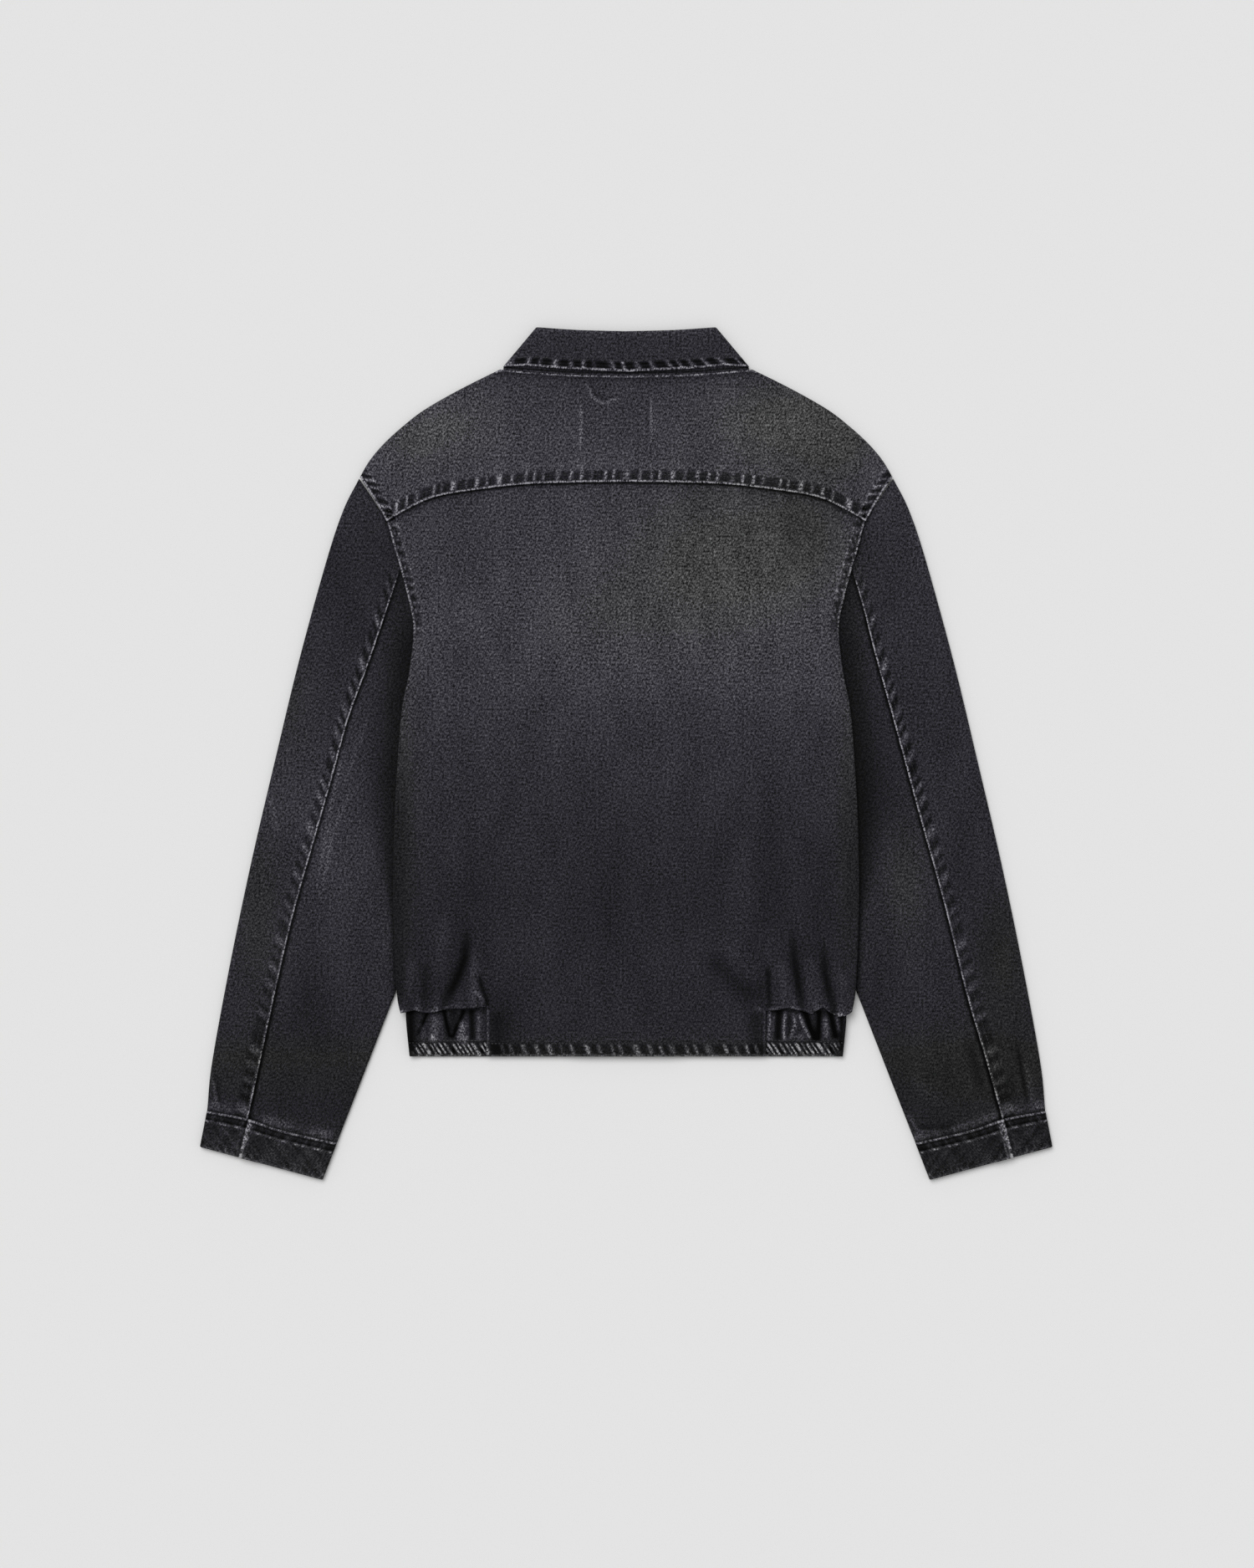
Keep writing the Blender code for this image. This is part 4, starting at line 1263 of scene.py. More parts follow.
@dataclass
class Front(Piece):
    """One front, from the buttoned lap to the side, face down on what it lies on."""

    side: Side
    under: int
    step: float = 4.2
    neck_part: float = 0.42
    lap: float = 15.5
    blouse_y: float = -240.0
    hem_y: float = -283.0
    tab_x: float = 130.6
    tab_part: float = 0.65
    width: float = 250.0
    length: float = 510.0
    bareness: float = 0.3
    edge: Seam = Seam(
        seed=8.0, pitch=12.0, width=30.0, pad=0.25, pucker=0.2, worn=50.0, ticks=12.0, dark=3.0,
        rows=(4.0,), beyond=6.0, sharp=0.25, ridge=12.0,
    )
    hem: Seam = Seam(
        seed=9.0, pitch=11.4, width=10.0, pad=0.35, pucker=0.35, worn=34.0, ticks=30.0, dark=8.0,
        rows=(11.6,), slant=0.35, beyond=1.5, sharp=0.2,
    )

    def top(self, parts: Array) -> Array:
        """The top edge, at parts of its length."""
        return top_edge(FRONT_NECK, self.neck_part, parts)

    def build(self) -> Sheet:
        """The sheet. Its troughs are hollows in the underside, so that it stays flat where it rests.

        Returns:
            The sheet, with its stitches sewn.
        """
        lines = np.array([0, 0.6, 1.4, 2.4, 4.0, 5.6])
        across = stations(self.width, lines, FOLD_LINES, self.step)[0] / self.width
        tab = int(np.argmin(np.abs(across - self.tab_part)))
        part = across[tab]
        down = stations(self.length, FOLD_LINES, FOLD_LINES, self.step)[0]
        v = (down / self.length)[:, None]
        high, low, neck_y = SHOULDER[-1][1], self.blouse_y, FRONT_NECK[0][1]
        edge_x = body_edge(np.array([low]))[0]

        def bottom(u: Array) -> Array:
            """The lower edge, whose columns meet the tab's edge where the back's do."""
            x = np.interp(u, [0.0, part, 1.0], [-self.lap, self.tab_x, edge_x])
            return np.stack([x, np.full(np.shape(u), low)], axis=-1)

        def outside(v: Array) -> Array:
            """The armhole and the side."""
            y = high + (low - high) * v
            return np.stack([body_edge(y), y], axis=-1)

        def inside(v: Array) -> Array:
            """The lap's straight edge."""
            return np.stack([np.full(np.shape(v), -self.lap), neck_y + (low - neck_y) * v], axis=-1)

        plan = coons(self.top, bottom, inside, outside, across[None], v)
        x, y = plan[..., 0], plan[..., 1]
        rows = stations(low - self.hem_y, np.zeros(1), HEM_LINES, 3.5)[0, 1:]
        body_rows = len(x)
        x = np.concatenate([x, np.repeat(x[-1:], len(rows), axis=0)])
        y = np.concatenate([y, np.repeat((low - rows)[:, None], x.shape[1], axis=1)])
        level = self.lay.front(x, y, self.under)
        radius = (self.lay.back(x, y) - level) / 2
        off = np.where(y > low - 0.1, np.maximum(body_edge(y) - x, 0.0), FAR)
        top_off = np.concatenate([down, np.full(len(rows), FAR)])[:, None]
        shouldered = smooth((across - self.neck_part) / 0.04)[None]
        signed = x * self.side.value
        rise, shade = self.cloth(signed, y)
        run, up = y, y - self.hem_y
        in_lap = x + self.lap
        on_tab = 1.0 - smooth((x - self.tab_x + 1.0) / 2.0)
        rise += 0.3 - 0.5 * self.edge.relief(in_lap, run)
        shade += self.edge.shade(in_lap, run) + on_tab * self.hem.shade(up, x)
        drops = np.maximum(
            fold_drop(off, radius) * smooth((185.0 - y) / 25.0),
            fold_drop(top_off, radius) * shouldered,
        )
        relief = np.clip(rise, 0.0, 1.6) * smooth(off / 12.0)
        z = level + relief + drops
        kept = np.ones((x.shape[0] - 1, x.shape[1] - 1), bool)
        kept[body_rows - 1 :, tab:] = False
        points = stacked(signed, y, z)
        points, shade, kept = facing_out(self.side, Side.RIGHT, points, shade, kept)
        sheet = Sheet(f"front_{self.side.word}", points, shade, kept=kept, bareness=self.bareness)
        wide, last = x.shape[1] - 1, x.shape[0] - 1
        lap_column = {Side.RIGHT: wide - 4, Side.LEFT: 4}[self.side]
        self.stitches.follow(sheet, column=lap_column, start=2, end=last)
        far = int(np.argmin(np.abs(in_lap[body_rows // 2] - 32.0)))
        far = wide - far if self.side is Side.RIGHT else far
        self.stitches.follow(sheet, column=far, start=6, end=last)
        first, end = (wide - tab + 1, wide) if self.side is Side.RIGHT else (1, tab)
        self.stitches.follow(sheet, row=last - HEM_ROW, start=first, end=end)
        return sheet


@dataclass
class Sleeve(Piece):
    """A two-piece sleeve, flat: the top piece folds round the outer edge and covers the front."""

    side: Side
    step: float = 3.0
    length: float = 600.0
    bloom_line: Line = Line(6.0, 5.0, 26.0)
    cuff_seam_shadow: Line = Line(0.0, 2.0, -12.0)
    armhole_shadow: Line = Line(0.0, 2.5, -10.0)
    seam_pucker: Line = Line(0.0, 5.0, 0.25)
    seam_ripple: Line = Line(3.0, 4.0, 4.0)
    seam_edge_shadow: Line = Line(1.0, 1.9, -34.0)
    clear: tuple[float, float] = (0.35, -0.2)
    armhole_part: float = 0.86
    seam: Seam = Seam(
        seed=3.0, pitch=16.5, width=9.5, pad=0.5, pucker=1.2, worn=116.0, ticks=38.0, dark=22.0,
        rows=(2.3,), slant=0.15, beyond=5.5, sharp=0.28,
    )
    cuff_seam: Seam = Seam(
        seed=6.0, pitch=8.0, width=4.0, pad=0.2, pucker=0.3, worn=0.0, ticks=13.0, dark=1.0, rows=(),
        slant=0.2, beyond=7.0, sharp=0.3,
    )

    def seam_line(self, v: Array) -> Array:
        """The back seam, from the armhole to the cuff."""
        return curve(SLEEVE_SEAM[self.side], v)

    def rows(self) -> Array:
        """Parts of the sleeve's length at which its rows lie, closest at the cuff."""
        lines = np.array([0, 1.0, 2.2, 3.6, 5.2, 7.0, 9.0, 11.5])
        return stations(self.length, np.array([0, 1.0, 2.5, 5.0]), lines, self.step)[0] / self.length

    def shadow(self, x: Array, y: Array) -> Array:
        """Grey levels of the painted shadow in the deep hollow beside the body, narrowing down the sleeve.

        Args:
            x: The points' x.
            y: Their y.

        Returns:
            What it adds to the cloth's lightness.
        """
        off = np.abs(x) - body_edge(y)
        reach = 3.5 + 18.0 * smooth((y + 165.0) / 130.0)
        deep = 23.5 - 1.5 * (x > 0) * smooth((y + 160.0) / 120.0)
        lit = 1.0 - (0.55 - 0.25 * (x > 0)) * smooth((y - 95.0) / 45.0)
        return -deep * lit * bump(np.maximum(off, 0.0), reach) * smooth((190.0 - y) / 40.0)

    def bloom_and_shadow(self, left: Array, run: Array) -> Array:
        """Grey levels just above the cuff: a painted shadow line at its seam, and worn patches over it."""
        patch = np.clip(0.5 + 0.6 * uneven(run, 33.0, 4.0 + self.side.value), 0.05, 1.1)
        return patch * self.bloom_line.beside(left) + self.cuff_seam_shadow.beside(left)

    def top_sheet(self) -> Sheet:
        """The top piece: back seam, round the outer edge, and across the front to the inner edge.

        Returns:
            The sheet, with its stitches sewn.
        """
        v = self.rows()
        seam = self.seam_line(v) + [0.2, 0.0]
        outer, inner = curve(SLEEVE_OUTER, v), curve(SLEEVE_INNER, v)
        wide = np.linalg.norm(outer - seam, axis=1)
        far = stations(wide, SEAM_LINES, FOLD_LINES, self.step)
        plan = coons(
            lambda u: curve(ARMHOLE, 1.0 - u) + self.clear,
            lambda u: curve(CUFF_SEAM, 0.31 * (1.0 - u)) + [0.0, 0.5],
            self.seam_line,
            lambda t: curve(SLEEVE_OUTER, t),
            far / wide[:, None],
            v[:, None],
        )
        from_seam, from_fold = far, wide[:, None] - far
        rise_back = self.lay.floor + self.lay.sleeve_rise
        x, y = plan[..., 0] * self.side.value, plan[..., 1]
        along = np.broadcast_to(v[:, None] * self.length, far.shape)
        rise, shade = self.cloth(x, y)
        ends = smooth((along - 4.0) / 18.0)
        strength = 0.8 + 0.7 * bump(y - 20.0, 120.0)
        rise += ends * strength * self.seam.relief(from_seam, along)
        shade += ends * strength * self.seam.shade(from_seam, along)
        left = self.length - along
        rise += self.cuff_seam.relief(left, far + 20.0)
        shade += self.cuff_seam.shade(left, far + 20.0) + self.bloom_and_shadow(left, far + 20.0)
        # A painted shadow along the armhole, where the body's edge lies over the sleeve.
        shade += self.armhole_shadow.beside(along)
        radius = self.lay.sleeve_rise / 2
        back = stacked(x, y, rise_back + np.clip(rise, -0.6, 3.0) - fold_drop(from_fold, radius))

        wide = np.linalg.norm(inner - outer, axis=1)
        far = stations(wide, FOLD_LINES, FOLD_LINES, 5.5)
        span, clear = self.armhole_part, np.array(self.clear)

        def armhole(u: Array) -> Array:
            """The armhole's edge and then straight on to the inner edge.

            Args:
                u: Parts of that way.

            Returns:
                Points.
            """
            beyond = np.clip((u - span) / (1.0 - span), 0.0, 1.0)[..., None]
            on = np.array(SLEEVE_INNER[0]) - np.array(ARMHOLE[-1]) - clear
            return curve(ARMHOLE, np.clip(u / span, 0.0, 1.0)) + clear + beyond * on

        plan = coons(
            armhole,
            lambda u: curve(CUFF_SEAM, u) + [0.0, 0.5],
            lambda t: curve(SLEEVE_OUTER, t),
            lambda t: curve(SLEEVE_INNER, t),
            far / wide[:, None],
            v[:, None],
        )
        x, y = plan[..., 0] * self.side.value, plan[..., 1]
        rest = wide[:, None] - far
        hollow = 0.5 + 0.5 * uneven(0.6 * x - y, 70.0, 2.0 + self.side.value)
        inside = smooth(far / 20.0) * smooth(rest / 20.0)
        lift = np.clip(0.9 * hollow**2 * inside, 0.0, 1.2)
        drops = fold_drop(far, radius) + fold_drop(rest, radius)
        front = stacked(x, y, self.lay.floor + lift + drops)
        # The front's hollows, where it is lifted off the floor, are given painted shade.
        front_shade = self.wash.tone(x, y) - 3.0 * hollow**2 * inside
        points = np.concatenate([back, front[:, 1:]], axis=1)
        shade = np.concatenate([shade, front_shade[:, 1:]], axis=1)
        points, shade = facing_out(self.side, Side.LEFT, points, shade)
        sheet = Sheet(f"sleeve_top_{self.side.word}", points, shade)
        for column in (EDGE_ROW, FIRST_ROW):
            column = column if self.side is Side.RIGHT else points.shape[1] - 1 - column
            self.stitches.follow(sheet, column=column, start=2, end=len(v) - 2)
        return sheet

    def under_sheet(self) -> Sheet:
        """The under piece: from the inner edge, under the body, out to the back seam.

        Returns:
            The sheet.
        """
        v = self.rows()
        seam, inner = self.seam_line(v), curve(SLEEVE_INNER, v)
        wide = np.linalg.norm(seam - inner, axis=1)
        far = stations(wide, FOLD_LINES, SEAM_LINES[:10], self.step)
        start, end = np.array(SLEEVE_INNER[0]), np.array(SLEEVE_SEAM[self.side][0])
        plan = coons(
            lambda u: start + (end - start) * u[..., None],
            lambda u: curve(CUFF_SEAM, 1.0 - 0.68 * u) + [0.0, 0.5],
            lambda t: curve(SLEEVE_INNER, t),
            self.seam_line,
            far / wide[:, None],
            v[:, None],
        )
        x, y = plan[..., 0] * self.side.value, plan[..., 1]
        rest = wide[:, None] - far
        along = np.broadcast_to(v[:, None] * self.length, far.shape)
        rise, shade = self.cloth(x, y)
        wave = uneven(along, self.seam.pitch, self.seam.seed)
        rise += wave * self.seam_pucker.beside(rest)
        shade += self.shadow(x, y)
        # The painted shadow line under the top piece's seam edge is about half as strong under the arm.
        shade += (1.0 - 16.0 / 34.0 * smooth((y - 120.0) / 30.0)) * self.seam_edge_shadow.beside(rest)
        shade += wave * self.seam_ripple.beside(rest)
        left = self.length - along
        rise += self.cuff_seam.relief(left, far)
        shade += self.cuff_seam.shade(left, far) + self.bloom_and_shadow(left, far + 90.0)
        radius = self.lay.sleeve_rise / 2
        covered = smooth((np.abs(x) - body_edge(y) + 4.0) / 8.0)
        level = self.lay.floor + self.lay.sleeve_rise
        z = level + np.clip(rise, -0.6, 3.0) * covered - fold_drop(far, radius)
        points, shade = facing_out(self.side, Side.LEFT, stacked(x, y, z), shade)
        return Sheet(f"sleeve_under_{self.side.word}", points, shade)


@dataclass
class Cuff(Piece):
    """A cuff: from its hidden lap round the outer edge, across the front and back over itself."""

    side: Side
    thickness: float = 1.5
    width: float = 124.0
    depth: float = 33.6
    lap_part: float = 0.32
    under_part: float = 0.45
    under_count: int = 26
    turn_count: int = 11
    front_count: int = 30
    between_rows: Line = Line(4.3, 0.8, 13.0)
    lap_worn: Line = Line(0.3, 1.9, 104.0)
    lap_groove: Line = Line(3.1, 1.0, -9.0)
    lap_shadow: Line = Line(0.0, 2.6, -14.0)
    lower: Seam = Seam(
        seed=12.0, pitch=6.5, width=4.5, pad=0.1, pucker=0.25, worn=34.0, ticks=34.0, dark=5.0,
        rows=(4.6,), slant=0.4, beyond=3.0, sharp=0.22,
    )
    upper: Seam = Seam(
        seed=11.0, pitch=9.0, pad=0.2, pucker=0.3, worn=88.0, ticks=8.0, dark=18.0, rows=(2.2, 6.4),
        beyond=1.5, sharp=0.25, ridge=84.0,
    )

    def path(self) -> tuple[Array, Array, Array]:
        """The way round the cuff: distance from its outer edge, height, and distance from the lap's end.

        Returns:
            Those three, for each column.
        """
        floor, rise = 0.9, self.lay.cuff_rise
        turn = np.linspace(0.0, np.pi, self.turn_count)
        inset = rise / 2 * (1.0 - np.sin(turn))
        arc = floor + rise / 2 * (1.0 + np.cos(turn))
        under = np.linspace(self.under_part * self.width, 4.0, self.under_count)
        front = np.linspace(4.0, self.width - 4.0, self.front_count)
        end = self.lap_part * self.width
        lines = np.array([0, 0.5, 1.1, 1.8, 2.7, 3.8, 5.0, 6.5])
        over = self.width - stations(self.width - end - 4.0, np.zeros(1), lines, 2.2)[0] - 4.0
        lifted = (self.thickness + 0.6) * smooth((0.51 * self.width - over) / (0.09 * self.width))
        far = np.concatenate([under, inset, front, self.width - inset, over])
        first, middle = np.full(self.under_count, floor + rise), np.full(self.front_count, floor)
        level = np.concatenate([first, arc, middle, arc[::-1], floor + rise + lifted])
        lap = np.full(len(far), FAR)
        lap[-len(over) :] = over - end
        return far, level, lap

    def build(self) -> Sheet:
        """The sheet: the path carried down from the seam to the edge.

        Returns:
            The sheet, with its stitches sewn.
        """
        far, level, lap = self.path()
        part = np.clip(far / self.width, 0.0, 1.0)
        upper_lines = np.array([0, 0.5, 1.2, 2.2, 3.6, 5.2, 6.8, 7.9, 8.6, 9.3, 10.4, 12.0])
        lower_lines = np.array([0, 0.5, 1.1, 2.0, 3.2, 4.0, 4.6, 5.2, 6.2, 8.0])
        down = stations(self.depth, upper_lines, lower_lines, 1.9)[0][:, None]
        v = (down / self.depth)[..., None]
        plan = (1 - v) * curve(CUFF_SEAM, part)[None] + v * curve(CUFF_EDGE, part)[None]
        x, y = plan[..., 0] * self.side.value, plan[..., 1]
        facing_up = (level > 3.0)[None]
        rise, shade = self.cloth(x, y)
        run = far[None] + 0.0 * down
        up = self.depth - down
        shade += self.lower.shade(up, run)
        shade += self.upper.shade(down, run)
        rise += self.lower.relief(up, run) + self.upper.relief(down, run)
        mottled = uneven(run + 0.5 * down, 27.0, 5.0)
        mottled = mottled + uneven(1.4 * down - run, 17.0, 6.0 + self.side.value)
        shade += 7.5 * mottled * smooth((down - 8.0) / 4.0) - 1.0 + self.between_rows.beside(down)
        ragged = 1.0 + 0.7 * uneven(down, 8.0, 2.0)
        shade += self.lap_worn.beside(lap - ragged) * (0.8 + 0.4 * uneven(down, 9.0, 2.0))
        # A second worn line inside the lap's edge, stronger on the right cuff.
        second = Line(5.0, 0.9, 22.0 + 16.0 * self.side.value)
        shade += (second.beside(lap) + self.lap_groove.beside(lap))[None]
        under_lap = self.lap_part * self.width - far
        front_start = self.under_count + self.turn_count
        hidden = np.arange(len(far)) < front_start
        # A painted shadow on the cuff beside the end of the lap that lies over it.
        shade += (self.lap_shadow.beside(under_lap) * hidden * (under_lap > -3.0))[None]
        z = level[None] + np.where(facing_up, 0.6, -0.2) * np.clip(rise, -0.5, 1.5)
        points, grain = stacked(x, y, z), stacked(run, -down)
        points, shade, grain = facing_out(self.side, Side.LEFT, points, shade, grain)
        sheet = Sheet(f"cuff_{self.side.word}", points, shade, grain, self.thickness)
        count, last = len(far), len(down) - 1
        visible = int(np.argmax(far[: self.under_count] < self.lap_part * self.width))
        front_end = front_start + self.front_count
        over_start = front_end + self.turn_count
        flat = ((visible, self.under_count), (front_start, front_end), (over_start, count - 1))
        for start, end in flat:
            if self.side is Side.LEFT:
                start, end = count - end, count - start
            for row in (8, last - 6):
                self.stitches.follow(sheet, row=row, start=start, end=end)
        lap_column = count - 5 if self.side is Side.RIGHT else 4
        self.stitches.follow(sheet, column=lap_column, start=2, end=last - 1)
        return sheet


@dataclass
class HemBand(Piece):
    """A band that elastic gathers: from the back's hem round the side to the front's hem."""

    side: Side
    start_x: float = 130.9
    hem: Seam = Seam(
        seed=21.0, pitch=5.2, width=10.5, pad=0.0, pucker=0.0, worn=60.0, ticks=225.0, dark=30.0,
        rows=(), slant=0.65, beyond=2.5, sharp=0.2,
    )
    width: float = 72.0
    blouse_y: float = -240.3
    hem_y: float = -283.0
    tuck: float = 6.0
    hem_groove: Line = Line(12.6, 0.9, -18.0)
    back_shadow: Line = Line(0.0, 3.0, -14.0)
    front_shadow: Line = Line(0.0, 3.0, -4.0)

    def half(self, back: bool) -> tuple[Array, Array, Array, Array]:
        """One half of the band: x, y, height and grey levels on its grid.

        Args:
            back: Whether it is the half on the back.

        Returns:
            Those four.
        """
        far = stations(self.width, np.zeros(1), np.array([0, 0.3, 0.8, 1.5, 2.6]), 1.15)[0]
        part = far / self.width
        tucked = self.tuck * (1.0 - smooth((part - 0.55) / 0.3)) if back else 0.0 * part
        start = self.blouse_y + tucked
        lines = np.array([0, 0.6, 1.3, 2.2, 3.4, 4.8, 6.3, 7.8, 9.3, 10.8, 12.2, 13.4, 14.6, 16.0])
        down = stations(50.0, np.zeros(1), lines, 1.7)[0] / 50.0
        y = start[None] + (self.hem_y - start[None]) * down[:, None]
        x = self.start_x + (across_at(BAND_SIDE, y) - self.start_x) * part[None]
        signed, up = x * self.side.value, y - self.hem_y
        side_off = across_at(BAND_SIDE, y) - x
        low, high = self.lay.front(x, y, 0), self.lay.back(x, y) - self.lay.layer
        seed = 3.0 + self.side.value + (0.0 if back else 5.0)
        wave = uneven(x + 0.12 * up * np.sin(x / 9.0), 11.0, seed)
        slanted = uneven(x + 0.8 * up, 7.5, seed + 0.4)
        above = smooth((up - 12.5) / 3.0)
        rise, shade = self.cloth(signed, y, creased=back)
        ends = smooth(part * 12.0)[None]
        ripple = 0.35 * wave * above + 0.55 * slanted * (1.0 - above)
        relief = (ripple + rise) * ends * smooth(side_off / 3.0)
        # Painted shading of the ripples above the hem: lighter where they rise, darker between.
        shade += 4.0 * wave * above
        middle = smooth(side_off / 14.0) if back else 0.4
        clump = np.clip(0.85 + 0.75 * uneven(signed - 0.5 * up, 12.0, seed + 1.1), 0.2, 1.6)
        shade += middle * clump * self.hem.shade(up, signed) + self.hem_groove.beside(up)
        # Darker towards the side fold, where the band turns round, as painted shade; the front half is
        # darker all over.
        shade -= (1.0 - middle) * 9.0
        shade += (self.back_shadow if back else self.front_shadow).beside(y - self.blouse_y)
        radius = (high - low) / 2
        level = high + np.clip(relief, -1.0, 2.2) if back else low + np.clip(relief + 0.5, 0.0, 1.2)
        drop = fold_drop(side_off, radius)
        return signed, y, level - drop if back else level + drop, shade

    def build(self) -> Sheet:
        """The sheet: its back half and then its front half, joined at the side.

        Returns:
            The sheet, with its stitches sewn.
        """
        x, y, z, shade = (
            np.concatenate([a, b[:, -2::-1]], axis=1) for a, b in zip(self.half(True), self.half(False))
        )
        points = stacked(x, y, z)
        grain = stacked(np.linspace(0, 2.6 * self.width, x.shape[1]), y)
        points, shade, grain = facing_out(self.side, Side.LEFT, points, shade, grain)
        sheet = Sheet(f"hem_band_{self.side.word}", points, shade, grain)
        self.stitches.follow(sheet, row=x.shape[0] - 1 - 12, start=1, end=x.shape[1] - 1)
        return sheet


@dataclass
class Collar(Piece):
    """The shirt collar: a stand, and the fall that turns over it and runs down to two points."""

    step: float = 1.5
    rows: int = 14
    back_length: float = 100.0
    front_length: float = 118.0
    inset: float = 0.965
    end_worn: Line = Line(0.5, 1.0, 16.0)
    roll_worn: Line = Line(1.0, 3.0, 7.0)
    fall_shadow: Line = Line(2.2, 1.3, -36.0)
    edge: Seam = Seam(
        seed=14.0, pitch=11.7, width=7.8, pucker=0.6, worn=104.0, ticks=70.0, dark=25.0,
        rows=(2.9, 6.6), beyond=2.5, sharp=0.16, rim=1.1, scallop=1.4,
    )

    def half(self, back: tuple[Rows, Rows], front: tuple[Rows, Rows], lines: Array) -> tuple[Array, ...]:
        """Half a strip, from the centre back round the side of the neck to its front end.

        Args:
            back: The upper and lower edges of the back part.
            front: The same of the front part.
            lines: Close stations at the lower edge.

        Returns:
            x, y, and the distances from the fold's outline, from the lower edge, from the upper edge,
            along the strip and from its front end, each on the grid; then 1 on the front part's columns.
        """
        spans = []
        for top, low, count in ((*back, self.back_length), (*front, self.front_length)):
            first = top is back[0]
            near = np.array([0, 0.25, 0.8, 1.7, 3.0, 5.0])
            far = stations(count, np.zeros(1) if first else near, near if first else lines[:8], self.step)[0]
            u = far / count
            depth = np.linalg.norm(curve(top, u) - curve(low, u), axis=1)
            part = np.linspace(0.0, 1.0, self.rows)[1:-1, None]
            low_line, high_line = near[-1], depth[None] - lines[-1]
            down = np.concatenate(
                [
                    np.repeat(near[:, None], len(u), axis=1),
                    low_line + (high_line - low_line) * part,
                    depth[None] - lines[::-1, None],
                ]
            )
            v = (down / depth[None])[..., None]
            plan = (1 - v) * curve(top, u)[None] + v * curve(low, u)[None]
            off = np.broadcast_to(((1.0 - u) if first else u) * count, down.shape)
            along = np.broadcast_to(far + (0.0 if first else self.back_length), down.shape)
            end = np.broadcast_to(FAR if first else (1.0 - u) * count, down.shape)
            in_front = np.full(down.shape, 0.0 if first else 1.0)
            up = depth[None] - down
            spans.append((plan[..., 0], plan[..., 1], off, up, down, along, end, in_front))
        return tuple(np.concatenate([a, b[:, 1:]], axis=1) for a, b in zip(*spans))

    def fall(self) -> Sheet:
        """The fall, whose lower edge is turned in and stitched, and which puckers there.

        Returns:
            The sheet, with its stitches sewn.
        """
        back_level = self.lay.floor + self.lay.body_rise + self.lay.collar_rise
        radius = (back_level - self.lay.floor) / 2
        edges = (COLLAR_ROLL, COLLAR_FALL), (COLLAR_FRONT_ROLL, COLLAR_FRONT_FALL)
        x, y, off, up, down, along, end, front = whole(self.half(*edges, SEAM_LINES))
        run = along * np.where(x < 0, -1.0, 1.0)
        puckers = self.edge.relief(up, run)
        shade = self.wash.tone(x, y) + self.edge.shade(up, run) + self.end_worn.beside(end)
        shade += self.roll_worn.beside(down)
        roll = fold_drop(down, np.full(down.shape, 1.3))
        level = np.where(front > 0, self.lay.floor + 0.2 * (1.0 - np.clip(puckers, -0.4, 0.8)),
                         back_level + puckers - roll)
        z = np.where(front > 0, level + fold_drop(off, radius) + 0.6 * roll, level - fold_drop(off, radius))
        sheet = Sheet("collar_fall", stacked(x, y, z), shade)
        last = x.shape[0] - 1
        self.stitches.follow(sheet, row=last - 12, start=8, end=x.shape[1] - 8)
        return sheet

    def stand(self) -> Sheet:
        """The stand, inside the fall's fold, butted to the yoke and the fronts at the neck seam.

        Returns:
            The sheet.
        """
        neck_level = self.lay.floor + self.lay.body_rise
        front_level = self.lay.floor + self.lay.layer
        neck = [(x * self.inset, y + 0.6) for x, y in BACK_NECK]
        roll = [(x * self.inset, y - 1.2) for x, y in COLLAR_ROLL]
        front_neck = [neck[-1]] + [(x - 2.5, y + 2.5) for x, y in FRONT_NECK[-2:0:-1]]
        front_roll = [roll[-1]] + [(x - 3.5, y - 1.2) for x, y in COLLAR_FRONT_ROLL[1:]]
        lines = np.array([0, 0.6, 1.3, 2.2, 3.4, 5.0, 7.0, 9.0])
        radius = (neck_level - front_level) / 2
        x, y, off, up, *_, front = whole(self.half((roll, neck), (front_roll, front_neck), lines))
        lifted = np.maximum(self.lay.front(x, y, (x > 0).astype(int)), front_level)
        drop = fold_drop(off, radius)
        z = np.where(front > 0, lifted + drop, neck_level - drop)
        # The strip that shows under the fall is painted lighter against the fall's shadow, and a painted
        # shadow line lies just under the fall's edge.
        shade = self.wash.tone(x, y) + 12.0 * (1.0 - smooth((up - 9.0) / 4.0)) - 4.0
        shade += self.fall_shadow.beside(up)
        return Sheet("collar_stand", stacked(x, y, z), shade)


